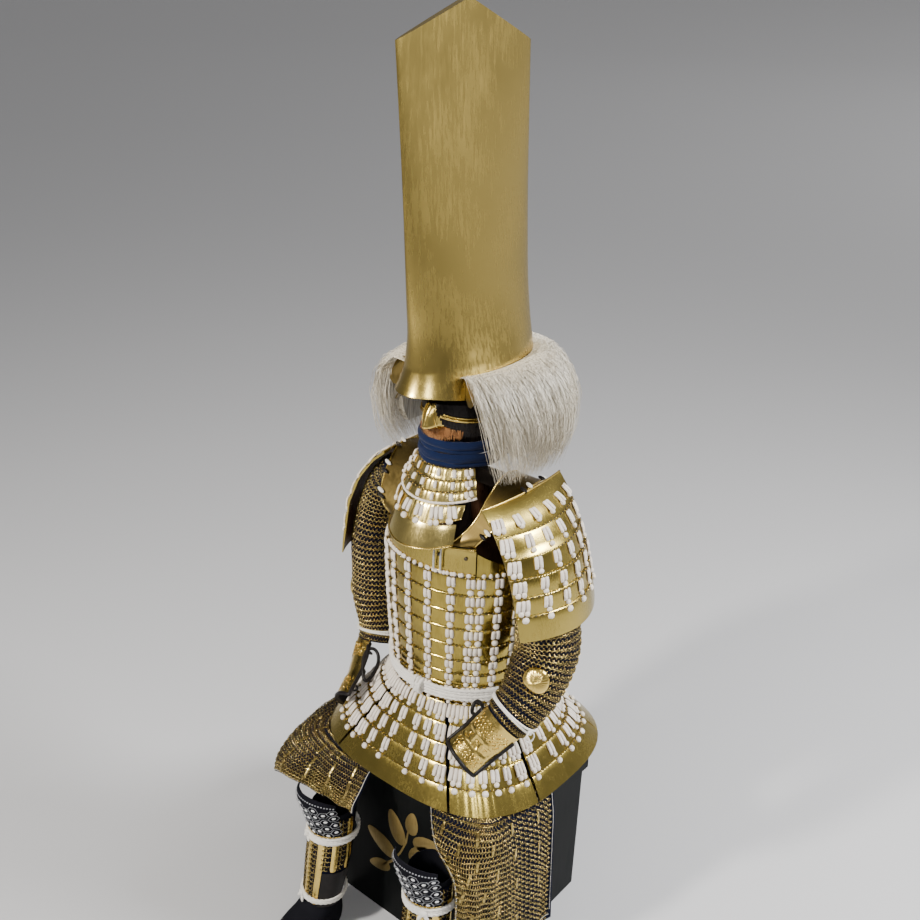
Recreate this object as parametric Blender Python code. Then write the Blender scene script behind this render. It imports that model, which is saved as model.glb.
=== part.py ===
"""Samurai armour seated on its lacquered armour chest.

Metres, +Z up. The origin is the centre of the chest's underside, -Y is the
armour's front and +X is the armour's left side. Every plate, lame and cloth
piece is a closed wall round an open hollow.
"""
import math

import bmesh
import bpy
from mathutils import Vector

# Fits and walls
GAP = 0.0003
PLATE = 0.0020
CLOTH = 0.0018
LAME_STEP = 0.0024
LAME_FOOT = 0.0004
LAME_LEDGE = 0.0016

# Armour chest
CHEST_WIDTH = 0.430
CHEST_DEPTH = 0.370
CHEST_HEIGHT = 0.440
CHEST_WALL = 0.012
LID_DROP = 0.100
LID_WALL = 0.008

# Inner stand
POST_RADIUS = 0.017
POST_Y = -0.030
BAR_HALF_LENGTH = 0.118
BAR_HEIGHT = 0.030
STRAP_TOP = 1.0813
HEAD_FIT = 0.0014
BOWL_FIT = 0.0008

# Cuirass
BODY_Y = -0.030
CUIRASS_BOTTOM = 0.615
CUIRASS_LAMES = (0.0385, 0.0385, 0.0385, 0.0385, 0.036, 0.033, 0.029, 0.025, 0.022)
CHEST_PLATE_TOP = 0.975
BACK_PLATE_TOP = 1.030
ARMHOLE_LOW = 0.930
SASH_HEIGHT = 0.645

# Skirt of seven tassets
SKIRT_BOTTOM = 0.450
SKIRT_DROP = 0.0019
TASSETS = 7
TASSET_LAMES = (0.19, 0.19, 0.19, 0.19, 0.24)

# Legs
LEG_X = 0.139
LEG_TOP = 0.325

# Colours: name, red, green, blue, roughness, metallic
FINISHES = {
    "gold_leaf": (0.55, 0.42, 0.14, 0.35, 1.0),
    "gold_plate": (0.60, 0.47, 0.17, 0.28, 1.0),
    "dark_gold": (0.35, 0.26, 0.09, 0.40, 1.0),
    "mail": (0.33, 0.26, 0.12, 0.50, 0.6),
    "navy_cloth": (0.01, 0.02, 0.06, 0.90, 0.0),
    "blue_scarf": (0.02, 0.06, 0.22, 0.85, 0.0),
    "white_cord": (0.80, 0.76, 0.70, 0.80, 0.0),
    "white_hair": (0.78, 0.76, 0.70, 0.70, 0.0),
    "brown_hair": (0.20, 0.09, 0.03, 0.80, 0.0),
    "black_lacquer": (0.01, 0.01, 0.012, 0.25, 0.0),
    "black_cloth": (0.012, 0.012, 0.016, 0.85, 0.0),
    "wood": (0.30, 0.19, 0.10, 0.60, 0.0),
}


def finish(name):
    """Return the named Principled material, made on first use."""
    material = bpy.data.materials.get(name)
    if material is None:
        red, green, blue, roughness, metallic = FINISHES[name]
        material = bpy.data.materials.new(name)
        material.use_nodes = True
        shader = material.node_tree.nodes["Principled BSDF"]
        shader.inputs["Base Color"].default_value = (red, green, blue, 1.0)
        shader.inputs["Roughness"].default_value = roughness
        shader.inputs["Metallic"].default_value = metallic
        material.diffuse_color = (red, green, blue, 1.0)
    return material


def add_solid(name, points, faces, colour):
    """Make one object from points and faces, with its faces turned outward."""
    mesh = bpy.data.meshes.new(name)
    mesh.from_pydata([tuple(point) for point in points], [], faces)
    body = bmesh.new()
    body.from_mesh(mesh)
    bmesh.ops.recalc_face_normals(body, faces=body.faces)
    bmesh.ops.triangulate(body, faces=body.faces)
    body.to_mesh(mesh)
    body.free()
    mesh.shade_smooth()
    mesh.set_sharp_from_angle(angle=math.radians(40))
    mesh.materials.append(finish(colour))
    solid = bpy.data.objects.new(name, mesh)
    bpy.context.scene.collection.objects.link(solid)
    return solid


def blend(low, high, share):
    """Value a share of the way between two."""
    return low + (high - low) * share


def from_table(table, height):
    """Interpolate a table's rows, whose first column falls, at one height."""
    rows = sorted(table)
    height = min(max(height, rows[0][0]), rows[-1][0])
    for lower, upper in zip(rows, rows[1:]):
        if height <= upper[0]:
            share = (height - lower[0]) / (upper[0] - lower[0])
            return [blend(a, b, share) for a, b in zip(lower[1:], upper[1:])]
    return list(rows[-1][1:])


def smooth_row(points, count):
    """Spread count points along a smooth curve through a few control points."""
    result = []
    last = len(points) - 1
    for step in range(count):
        place = last * step / (count - 1)
        index = min(int(place), last - 1)
        share = place - index
        before = points[max(index - 1, 0)]
        start = points[index]
        end = points[index + 1]
        after = points[min(index + 2, last)]
        result.append(
            0.5 * ((2.0 * start)
                   + (end - before) * share
                   + (2.0 * before - 5.0 * start + 4.0 * end - after) * share ** 2
                   + (3.0 * start - 3.0 * end + after - before) * share ** 3))
    return result


def smooth_grid(rows, row_count, column_count):
    """Turn a small grid of control points into a smooth, finer one."""
    wide = [smooth_row(row, column_count) for row in rows]
    columns = [smooth_row([row[j] for row in wide], row_count) for j in range(column_count)]
    return [[column[i] for column in columns] for i in range(row_count)]


def oval(half_x, half_y, centre_y, height, angle, power=2.0, centre_x=0.0):
    """Point of an oval ring. Angle 0 is the front, 90 degrees the left side."""
    s = math.sin(math.radians(angle))
    c = math.cos(math.radians(angle))
    x = math.copysign(abs(s) ** (2.0 / power), s) * half_x
    y = math.copysign(abs(c) ** (2.0 / power), c) * half_y
    return Vector((centre_x + x, centre_y - y, height))


def spread(start, end, count):
    """Even values from start to end."""
    return [blend(start, end, i / (count - 1)) for i in range(count)]


def normals_of(grid, closed):
    """Outward normals of a grid whose rows go down and columns go left round."""
    last_row = len(grid) - 1
    width = len(grid[0])
    result = []
    for i, row in enumerate(grid):
        above = grid[max(i - 1, 0)]
        below = grid[min(i + 1, last_row)]
        line = []
        for j in range(width):
            right = (j + 1) % width if closed else min(j + 1, width - 1)
            left = (j - 1) % width if closed else max(j - 1, 0)
            across = row[right] - row[left]
            down = below[j] - above[j]
            line.append(down.cross(across).normalized())
        if not closed and width > 2:
            for edge, inward in ((0, 1), (width - 1, width - 2)):
                line[edge] = (line[edge] * 2.0 - line[inward]).normalized()
        result.append(line)
    return result


def moved(grid, distance, closed=False):
    """The same grid moved out along its normals."""
    normals = normals_of(grid, closed)
    return [[p + n * distance for p, n in zip(row, line)] for row, line in zip(grid, normals)]


def wall(name, grid, thickness, colour, closed=False, relief=None, cap=None, inside=None):
    """Closed wall behind a grid. Relief lifts outer points over a plain inside.

    A cap of "top" or "bottom" closes that end of a tube whose columns mirror
    left to right. An inside grid, where given, replaces the even thickness.
    """
    normals = normals_of(grid, closed)
    height = len(grid)
    width = len(grid[0])
    outer = []
    inner = []
    for i in range(height):
        for j in range(width):
            lift = relief[i][j] if relief else 0.0
            outer.append(grid[i][j] + normals[i][j] * lift)
            inner.append(inside[i][j] if inside else grid[i][j] - normals[i][j] * thickness)
    size = height * width
    faces = []
    columns = width if closed else width - 1
    for i in range(height - 1):
        for j in range(columns):
            a = i * width + j
            b = i * width + (j + 1) % width
            c = b + width
            d = a + width
            faces.append((a, b, c, d))
            faces.append((size + d, size + c, size + b, size + a))
    ends = {"top": 0, "bottom": height - 1}
    for end, row in ends.items():
        for j in range(columns):
            a = row * width + j
            b = row * width + (j + 1) % width
            if cap != end:
                faces.append((a, size + a, size + b, b))
        if cap == end:
            for shift in (0, size):
                for j in range(width // 2):
                    near = [row * width + k % width + shift
                            for k in (j, j + 1, width - j - 1, width - j)]
                    faces.append(tuple(dict.fromkeys(near)))
    if not closed:
        for i in range(height - 1):
            for j in (0, width - 1):
                a = i * width + j
                b = a + width
                faces.append((a, b, size + b, size + a))
    return add_solid(name, outer + inner, faces, colour)


def loft(name, rings, colour):
    """Solid through closed rings whose points mirror from side to side."""
    width = len(rings[0])
    points = [point for ring in rings for point in ring]
    faces = []
    for i in range(len(rings) - 1):
        for j in range(width):
            a = i * width + j
            b = i * width + (j + 1) % width
            faces.append((a, b, b + width, a + width))
    for row in (0, len(rings) - 1):
        faces.append(tuple(row * width + j for j in range(width)))
    return add_solid(name, points, faces, colour)


def block(name, low, high, colour):
    """Plain box between two corners."""
    xs, ys, zs = zip(low, high)
    points = [Vector((x, y, z)) for z in zs for y in ys for x in xs]
    faces = [(0, 1, 3, 2), (4, 6, 7, 5), (0, 4, 5, 1), (2, 3, 7, 6), (0, 2, 6, 4), (1, 5, 7, 3)]
    return add_solid(name, points, faces, colour)


def lame_rows(lengths, total):
    """Places of each lame's top and bottom ring along a panel, with its lift."""
    rows = []
    place = 0.0
    ledge = LAME_LEDGE / total
    scale = 1.0 / sum(lengths)
    for index, length in enumerate(lengths):
        start = place + (ledge if index else 0.0)
        place += length * scale
        rows.append((start, LAME_STEP))
        rows.append((place, LAME_FOOT))
    return rows


def open_box(name, half_x, half_y, low, high, thickness, open_top, colour):
    """Box with one open end, as the chest's body or its lid."""
    outer = [(-half_x, -half_y), (half_x, -half_y), (half_x, half_y), (-half_x, half_y)]
    inner = [(x - math.copysign(thickness, x), y - math.copysign(thickness, y)) for x, y in outer]
    closed_z, open_z = (low, high) if open_top else (high, low)
    floor_z = closed_z + (thickness if open_top else -thickness)
    points = []
    for ring, z in ((outer, closed_z), (outer, open_z), (inner, open_z), (inner, floor_z)):
        points += [Vector((x, y, z)) for x, y in ring]
    faces = [(0, 1, 2, 3), (12, 15, 14, 13)]
    for layer in range(3):
        for k in range(4):
            a = layer * 4 + k
            b = layer * 4 + (k + 1) % 4
            faces.append((a, b, b + 4, a + 4))
    return add_solid(name, points, faces, colour)


def chest():
    """Lacquered chest with a drop-over lid."""
    body_x = CHEST_WIDTH / 2 - LID_WALL - GAP
    body_y = CHEST_DEPTH / 2 - LID_WALL - GAP
    body_top = CHEST_HEIGHT - LID_WALL - GAP
    lid_low = CHEST_HEIGHT - LID_DROP
    open_box("chest_body", body_x, body_y, 0.0, body_top, CHEST_WALL, True, "black_lacquer")
    open_box("chest_lid", CHEST_WIDTH / 2, CHEST_DEPTH / 2, lid_low, CHEST_HEIGHT,
             LID_WALL, False, "black_lacquer")


# Helmet sections: height, front edge y, back edge y, half width
HELMET = (
    (1.844, -0.232, 0.112, 0.007),
    (1.720, -0.220, 0.119, 0.014),
    (1.600, -0.209, 0.125, 0.024),
    (1.500, -0.200, 0.130, 0.036),
    (1.430, -0.193, 0.134, 0.045),
    (1.370, -0.185, 0.138, 0.058),
    (1.320, -0.184, 0.141, 0.073),
    (1.300, -0.187, 0.142, 0.080),
    (1.262, -0.200, 0.146, 0.092),
)
HELMET_SIDES = 22
HELMET_PEAK = 0.064
HELMET_PEAK_Y = -0.065
HELMET_WALL = 0.0025
HELMET_END = 0.05
RIM_SAG = 0.010
RIM_LIFT = 0.006


def helmet_ring(height, inset=0.0):
    """One section; an inset section keeps solid metal at its thin ends."""
    front, back, half = from_table(HELMET, height)
    length = (back - front) / 2 - inset * (1.0 + HELMET_END / half)
    ring = []
    for j in range(HELMET_SIDES):
        ring.append(oval(half - inset, length, (front + back) / 2, height, 360 * j / HELMET_SIDES))
    return ring


def gable(ring, front, back):
    """Raise a ring's points to the cap's two sloping top edges."""
    for point in ring:
        reach = (HELMET_PEAK_Y - front) if point.y < HELMET_PEAK_Y else (back - HELMET_PEAK_Y)
        point.z += HELMET_PEAK * max(0.0, 1.0 - abs(point.y - HELMET_PEAK_Y) / reach)


def helmet():
    """Tall court-cap helmet of one beaten shell, open below."""
    grid = [helmet_ring(row[0]) for row in HELMET]
    inside = [helmet_ring(row[0], HELMET_WALL) for row in HELMET]
    for point in inside[0]:
        point.z -= 3 * HELMET_WALL
    for ring in (grid[0], inside[0]):
        gable(ring, HELMET[0][1], HELMET[0][2])
    for ring in (grid[-1], inside[-1]):
        for point in ring:
            point.z -= RIM_SAG * max(0.0, 1.0 - abs(point.y + 0.03) / 0.15)
            if point.y < -0.10:
                point.z += RIM_LIFT * (-0.10 - point.y) / 0.10
    wall("helmet", grid, HELMET_WALL, "gold_leaf", closed=True, cap="top", inside=inside)


# Neck guard lames under the hair: drop below the bowl's edge, outward reach
FIRST_HAIR_SIDE = 4
LAST_HAIR_SIDE = HELMET_SIDES - 4
NECK_GUARD = ((0.0005, 0.0003), (0.022, 0.010), (0.024, 0.0125), (0.050, 0.025))


def around_bowl(angle, reach, height):
    """Point a given reach out from the bowl's lower edge."""
    front, back, half = from_table(HELMET, 1.262)
    centre = (front + back) / 2
    return oval(half + reach, (back - front) / 2 + reach, centre, height, angle)


def hair_angles():
    """Angles of the bowl's own corners, from temple round to temple."""
    return [360 * j / HELMET_SIDES for j in range(FIRST_HAIR_SIDE, LAST_HAIR_SIDE + 1)]


def neck_guard():
    """Two lames that hang from the bowl's sides and back."""
    angles = hair_angles()
    grid = [[around_bowl(a, reach + PLATE, 1.262 - drop) for a in angles]
            for drop, reach in NECK_GUARD]
    wall("neck_guard", grid, PLATE, "dark_gold")


# Mane section: height, inner reach, outer reach from the bowl's edge
MANE = (
    (1.308, 0.0006, 0.014),
    (1.292, 0.004, 0.050),
    (1.262, 0.005, 0.080),
    (1.222, 0.034, 0.094),
    (1.175, 0.038, 0.092),
    (1.130, 0.036, 0.076),
    (1.095, 0.036, 0.050),
)


def mane():
    """Long white hair set round the bowl from temple to temple."""
    rings = []
    angles = hair_angles()
    for angle in angles:
        from_end = min(angle - angles[0], angles[-1] - angle)
        full = 0.66 + 0.34 * min(1.0, from_end / 30.0)
        outer = []
        inner = []
        for height, near, far in MANE:
            bowl = max(height, 1.262)
            front, back, half = from_table(HELMET, bowl)
            centre = (front + back) / 2
            far_reach = 0.095 - half + blend(near, far, full)
            outer.append(oval(half + far_reach, (back - front) / 2 + far_reach * 0.8,
                              centre, height, angle))
            inner.append(oval(half + near, (back - front) / 2 + near, centre, height, angle))
        rings.append(outer + inner[::-1])
    loft("hair_mane", rings, "white_hair")


# Turned-back lobes: centre height, radius, place between two bowl corners, seat
LOBE_HEIGHT = 1.278
LOBE_RADIUS = 0.028
LOBE_SHARE = 0.35
LOBE_SEAT = 0.0008


def turned_back_end(name, side):
    """Round lobe where the neck guard's end turns back beside the temple."""
    grid = []
    for up in spread(0.96, -0.96, 7):
        height = LOBE_HEIGHT + LOBE_RADIUS * up
        ring = helmet_ring(height)
        seat = ring[FIRST_HAIR_SIDE - 1].lerp(ring[FIRST_HAIR_SIDE], LOBE_SHARE)
        out = (ring[FIRST_HAIR_SIDE - 1] - ring[FIRST_HAIR_SIDE]).cross(Vector((0, 0, 1)))
        out = out.normalized() * (1 if out.x > 0 else -1)
        reach = LOBE_RADIUS * math.sqrt(1.0 - up * up)
        row = []
        for share in (0.0, 0.35, 0.7, 1.0):
            far = LOBE_SEAT + 0.5 * (LOBE_RADIUS - reach) + reach * share
            place = seat + out * far
            place.x *= side
            row.append(place)
        grid.append(row if side > 0 else row[::-1])
    wall(name, grid, PLATE, "dark_gold")


# Mask rings: height, half width, front depth, nose lift
MASK = (
    (1.236, 0.0745, 0.092, 0.010),
    (1.222, 0.0750, 0.092, 0.020),
    (1.206, 0.0750, 0.091, 0.028),
    (1.196, 0.0745, 0.090, 0.030),
    (1.188, 0.0740, 0.088, 0.003),
    (1.178, 0.0732, 0.087, 0.002),
    (1.168, 0.0720, 0.085, 0.002),
    (1.148, 0.0680, 0.079, 0.006),
    (1.138, 0.0660, 0.075, 0.003),
)
MASK_ANGLES = (0, 7, 14, 28, 48, 70, 92)
NOSE_SPREAD = 11.0
BEARD_LIFT = 0.0048


def mask_grid():
    """The mask's rings and the lift of its nose."""
    angles = [-a for a in MASK_ANGLES[:0:-1]] + list(MASK_ANGLES)
    grid = [[oval(half, depth, BODY_Y, z, a) for a in angles] for z, half, depth, _ in MASK]
    relief = [[nose * math.exp(-(a / NOSE_SPREAD) ** 2) for a in angles]
              for _, _, _, nose in MASK]
    return grid, relief


def mask():
    """Half mask of beaten metal with a plain nose, cheeks and chin."""
    grid, relief = mask_grid()
    wall("mask", grid, PLATE, "dark_gold", relief=relief)


def beard():
    """Bristles set round the mask's mouth."""
    grid, relief = mask_grid()
    rows = range(4, 7)
    columns = range(2, len(grid[0]) - 2)
    normals = normals_of(grid, False)
    base = [[grid[i][j] + normals[i][j] * (relief[i][j] + BEARD_LIFT) for j in columns]
            for i in rows]
    wall("mask_beard", base, BEARD_LIFT - 0.0008, "brown_hair")


# Scarf winds: top, bottom, front lift
SCARF = (("scarf_upper", 1.166, 1.141, 0.0060), ("scarf_lower", 1.1405, 1.114, 0.0100))
SCARF_WALL = 0.0050
SCARF_FIT = 0.0030
SCARF_BULGE = 0.004
SCARF_HALF = 0.0700
SCARF_DEPTH = 0.0830


def scarf():
    """Two winds of a folded cloth round the mask's lower edge."""
    angles = [15.0 * j for j in range(24)]
    for name, top, bottom, lift in SCARF:
        grid = []
        for share in (0.0, 0.5, 1.0):
            z = blend(top, bottom, share)
            bulge = SCARF_BULGE * math.sin(math.pi * share)
            half, depth, _ = from_table(MASK, max(z, MASK[-1][0]))
            half = max(half, SCARF_HALF)
            depth = max(depth, SCARF_DEPTH)
            reach = SCARF_WALL + SCARF_FIT + bulge + lift * 0.3
            grid.append([oval(half + reach, depth + reach, BODY_Y, z, a) for a in angles])
        wall(name, grid, SCARF_WALL, "blue_scarf", closed=True)


# Bib lames: name, top height, bottom height, half width and depth at each,
# half angle, rows. The whole bib is turned a little to the armour's right.
BIB_TURN = -3.0
BIBS = (
    ("bib_upper", 1.1118, 1.054, 0.079, 0.093, 0.106, 0.128, 60.0, 3),
    ("bib_laced", 1.0524, 1.020, 0.104, 0.1270, 0.108, 0.147, 50.0, 1),
    ("bib_plain", 1.0191, 0.974, 0.107, 0.1470, 0.117, 0.168, 46.0, 1),
)


def bibs():
    """Throat lames that hang from the mask by white cords."""
    for name, top, bottom, half_top, deep_top, half_low, deep_low, reach, rows in BIBS:
        angles = spread(BIB_TURN - reach, BIB_TURN + reach, 13)
        grid = []
        relief = []
        for share, lift in lame_rows((1.0,) * rows, top - bottom):
            z = blend(top, bottom, share)
            half = blend(half_top, half_low, share)
            deep = blend(deep_top, deep_low, share)
            curl = [0.010 * share * (abs(a - BIB_TURN) / reach) ** 2 for a in angles]
            grid.append([oval(half, deep, BODY_Y, z + c, a) for a, c in zip(angles, curl)])
            relief.append([lift] * len(angles))
        wall(name, grid, PLATE, "gold_plate", relief=relief)


# Cuirass rings: height, half width, half depth
CUIRASS = (
    (1.030, 0.150, 0.118),
    (0.975, 0.158, 0.126),
    (0.900, 0.160, 0.128),
    (0.800, 0.156, 0.125),
    (0.700, 0.149, 0.119),
    (0.615, 0.141, 0.113),
)
CUIRASS_COLUMN = 11.25


def cuirass_point(angle, height, out=0.0):
    """Point on the cuirass's surface, or a distance out from it."""
    half, deep = from_table(CUIRASS, height)
    return oval(half + out, deep + out, BODY_Y, height, angle)


def panel_angles(start, end):
    """Column angles of a body panel, a seam's gap short of its neighbours."""
    steps = int(round((end - start) / CUIRASS_COLUMN))
    angles = spread(start, end, steps + 1)
    angles[0] += 0.07
    angles[-1] -= 0.07
    return angles


def cuirass():
    """Front, back and two sides, each of nine laced lames on one wall."""
    top = CUIRASS_BOTTOM + sum(CUIRASS_LAMES)
    panels = (("cuirass_front", -45, 45), ("cuirass_left", 45, 135),
              ("cuirass_back", 135, 225), ("cuirass_right", 225, 315))
    for name, start, end in panels:
        angles = panel_angles(start, end)
        grid = []
        relief = []
        if name in ("cuirass_left", "cuirass_right"):
            middle = (start + end) / 2
            row = []
            for a in angles:
                z = ARMHOLE_LOW + 0.034 * ((a - middle) / 45) ** 2
                row.append(cuirass_point(a, z))
            grid.append(row)
            relief.append([0.0] * len(angles))
            grid.append([cuirass_point(a, top + LAME_LEDGE) for a in angles])
            relief.append([0.0] * len(angles))
        for share, lift in lame_rows(CUIRASS_LAMES, top - CUIRASS_BOTTOM):
            z = blend(top, CUIRASS_BOTTOM, share)
            grid.append([cuirass_point(a, z) for a in angles])
            relief.append([lift] * len(angles))
        wall(name, grid, PLATE, "gold_plate", relief=relief)


def chest_and_back_plates():
    """Plain plates above the laced lames, which carry the shoulder straps."""
    low = CUIRASS_BOTTOM + sum(CUIRASS_LAMES) + GAP
    for name, start, end, top in (("chest_plate", -44.0, 44.0, CHEST_PLATE_TOP),
                                  ("back_plate", 136.0, 224.0, BACK_PLATE_TOP)):
        angles = spread(start, end, 11)
        grid = [[cuirass_point(a, blend(top, low, share)) for a in angles]
                for share in (0.0, 0.12, 0.5, 1.0)]
        relief = [[0.0024] * 11, [0.0] * 11, [0.0] * 11, [0.0] * 11]
        wall(name, grid, PLATE, "gold_plate", relief=relief)


# Shoulder strap path over the shoulder: y, height, inner edge x, outer edge x
STRAP = (
    (-0.132, 0.9766, 0.062, 0.106),
    (-0.126, 0.999, 0.082, 0.124),
    (-0.108, 1.026, 0.096, 0.142),
    (-0.074, 1.064, 0.098, 0.152),
    (-0.030, 1.086, 0.092, 0.1595),
    (0.020, 1.080, 0.084, 0.148),
    (0.056, 1.058, 0.076, 0.130),
    (0.072, 1.0324, 0.062, 0.106),
)
STRAP_WALL = 0.003


def shoulder_strap(name, side):
    """Broad plate over the shoulder from chest plate to back plate."""
    grid = []
    for index, (y, z, near, far) in enumerate(STRAP):
        row = []
        for x in spread(near, far, 5):
            place = Vector((side * x, y, z))
            if index in (0, len(STRAP) - 1):
                half, deep = from_table(CUIRASS, z)
                reach = deep * math.sqrt(1.0 - (x / half) ** 2)
                place.y = BODY_Y + math.copysign(reach, y)
            row.append(place)
        grid.append(row if side > 0 else row[::-1])
    wall(name, grid[::-1], STRAP_WALL, "dark_gold")


def sash():
    """White cords wound round the waist, with their knot in front."""
    sides = 32
    rows = ((0.014, 0.000), (0.000, 0.0045), (-0.014, 0.000))
    grid = []
    for lift, bulge in rows:
        row = []
        for j in range(sides):
            angle = 360 * j / sides
            dip = -0.004 * math.cos(math.radians(angle + 20))
            z = SASH_HEIGHT + dip + lift
            row.append(cuirass_point(angle, z, LAME_STEP + 0.0042 + bulge))
        grid.append(row)
    wall("sash", grid, 0.0034, "white_cord", closed=True)
    knot = cuirass_point(2.0, SASH_HEIGHT - 0.0037, LAME_STEP + 0.0202)
    rings = []
    for share in (-1.0, -0.5, 0.5, 1.0):
        radius = 0.011 * (1.0 if abs(share) < 1 else 0.55)
        rings.append([knot + Vector((0.017 * share,
                                     radius * math.cos(2 * math.pi * k / 8),
                                     radius * math.sin(2 * math.pi * k / 8)))
                      for k in range(8)])
    loft("sash_knot", rings, "white_cord")


def skirt_point(angle, share):
    """Point on the flared skirt: share 0 is the waist, 1 the hem."""
    top = cuirass_point(angle, CUIRASS_BOTTOM)
    low = oval(0.272, 0.250, 0.004, SKIRT_BOTTOM, angle, power=2.9)
    place = top.lerp(low, share)
    place.z = blend(CUIRASS_BOTTOM - SKIRT_DROP, SKIRT_BOTTOM, share)
    return place


def tassets():
    """Seven hanging panels of five laced lames each."""
    sector = 360.0 / TASSETS
    names = ("tasset_front", "tasset_front_left", "tasset_side_left", "tasset_rear_left",
             "tasset_rear_right", "tasset_side_right", "tasset_front_right")
    for index, name in enumerate(names):
        middle = sector * index
        grid = []
        relief = []
        for share, lift in lame_rows(TASSET_LAMES, 0.22):
            half = blend(sector * 0.462, sector * 0.488, share)
            angles = spread(middle - half, middle + half, 7)
            grid.append([skirt_point(a, share) for a in angles])
            relief.append([lift] * len(angles))
        wall(name, grid, PLATE, "gold_plate", relief=relief)


# Shoulder guard rings: height, edge x, bulge, centre y, half length, front flare
GUARD_LEFT = (
    (1.081, 0.1496, 0.010, -0.043, 0.118, 0.000),
    (1.055, 0.180, 0.026, -0.050, 0.118, 0.000),
    (1.010, 0.206, 0.038, -0.050, 0.118, 0.000),
    (0.960, 0.224, 0.042, -0.046, 0.119, 0.000),
    (0.848, 0.246, 0.046, -0.035, 0.121, 0.000),
)
GUARD_RIGHT = (
    (1.081, 0.1526, 0.010, 0.022, 0.115, 0.000),
    (1.055, 0.180, 0.026, 0.022, 0.116, 0.004),
    (1.010, 0.206, 0.038, 0.018, 0.118, 0.010),
    (0.950, 0.222, 0.044, 0.012, 0.119, 0.016),
    (0.833, 0.228, 0.050, 0.002, 0.120, 0.020),
)
GUARD_LAMES = (0.16, 0.155, 0.155, 0.155, 0.155, 0.22)


def shoulder_guard(name, side, table):
    """Hanging guard of six lames with a plain deep one at the bottom."""
    top = table[0][0]
    bottom = table[-1][0]
    grid = []
    relief = []
    for share, lift in lame_rows(GUARD_LAMES, top - bottom):
        z = blend(top, bottom, share)
        edge, bulge, centre, half, flare = from_table(table, z)
        row = []
        for t in spread(-1.0, 1.0, 8):
            x = edge + bulge * (1.0 - t * t) - flare * t
            row.append(Vector((side * x, centre + half * t, z)))
        grid.append(row if side > 0 else row[::-1])
        relief.append([lift] * len(row))
    wall(name, grid, PLATE, "gold_plate", relief=relief)


# Sleeve path: x, y, height, half width across, half width fore and aft
SLEEVE_LEFT = (
    (0.122, -0.034, 1.044, 0.034, 0.044),
    (0.170, -0.036, 1.010, 0.042, 0.058),
    (0.206, -0.040, 0.950, 0.043, 0.061),
    (0.2205, -0.044, 0.870, 0.0540, 0.062),
    (0.236, -0.050, 0.790, 0.060, 0.062),
    (0.236, -0.082, 0.725, 0.057, 0.057),
    (0.228, -0.118, 0.682, 0.050, 0.050),
    (0.213, -0.144, 0.652, 0.043, 0.043),
)
SLEEVE_RIGHT = (
    (-0.122, -0.034, 1.044, 0.034, 0.044),
    (-0.170, -0.034, 1.010, 0.042, 0.058),
    (-0.206, -0.030, 0.940, 0.043, 0.061),
    (-0.2200, -0.036, 0.860, 0.0500, 0.060),
    (-0.2220, -0.034, 0.780, 0.0530, 0.058),
    (-0.2200, -0.040, 0.715, 0.050, 0.054),
    (-0.2060, -0.046, 0.652, 0.043, 0.046),
    (-0.2000, -0.060, 0.612, 0.040, 0.040),
)
SLEEVE_SIDES = 14
SLEEVE_ROWS = 11


def sleeve_grid(table):
    """Rings square to the arm's path, columns starting at the front."""
    centres = smooth_row([Vector(row[:3]) for row in table], SLEEVE_ROWS)
    sizes = smooth_row([Vector((row[3], row[4], 0)) for row in table], SLEEVE_ROWS)
    grid = []
    for i, centre in enumerate(centres):
        down = (centres[min(i + 1, SLEEVE_ROWS - 1)] - centres[max(i - 1, 0)]).normalized()
        front = Vector((0, -1, 0))
        front = (front - down * front.dot(down)).normalized()
        left = front.cross(down)
        if left.x < 0:
            left = -left
        row = []
        for j in range(SLEEVE_SIDES):
            turn = 2 * math.pi * j / SLEEVE_SIDES
            row.append(centre + left * (sizes[i].x * math.sin(turn))
                       + front * (sizes[i].y * math.cos(turn)))
        grid.append(row)
    return grid


# Elbow boss: radius, height, clearance over the sleeve, sides and rings
BOSS_RADIUS = 0.026
BOSS_HEIGHT = 0.009
BOSS_CLEAR = 0.0009
BOSS_SIDES = 12
BOSS_RINGS = 3


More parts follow.
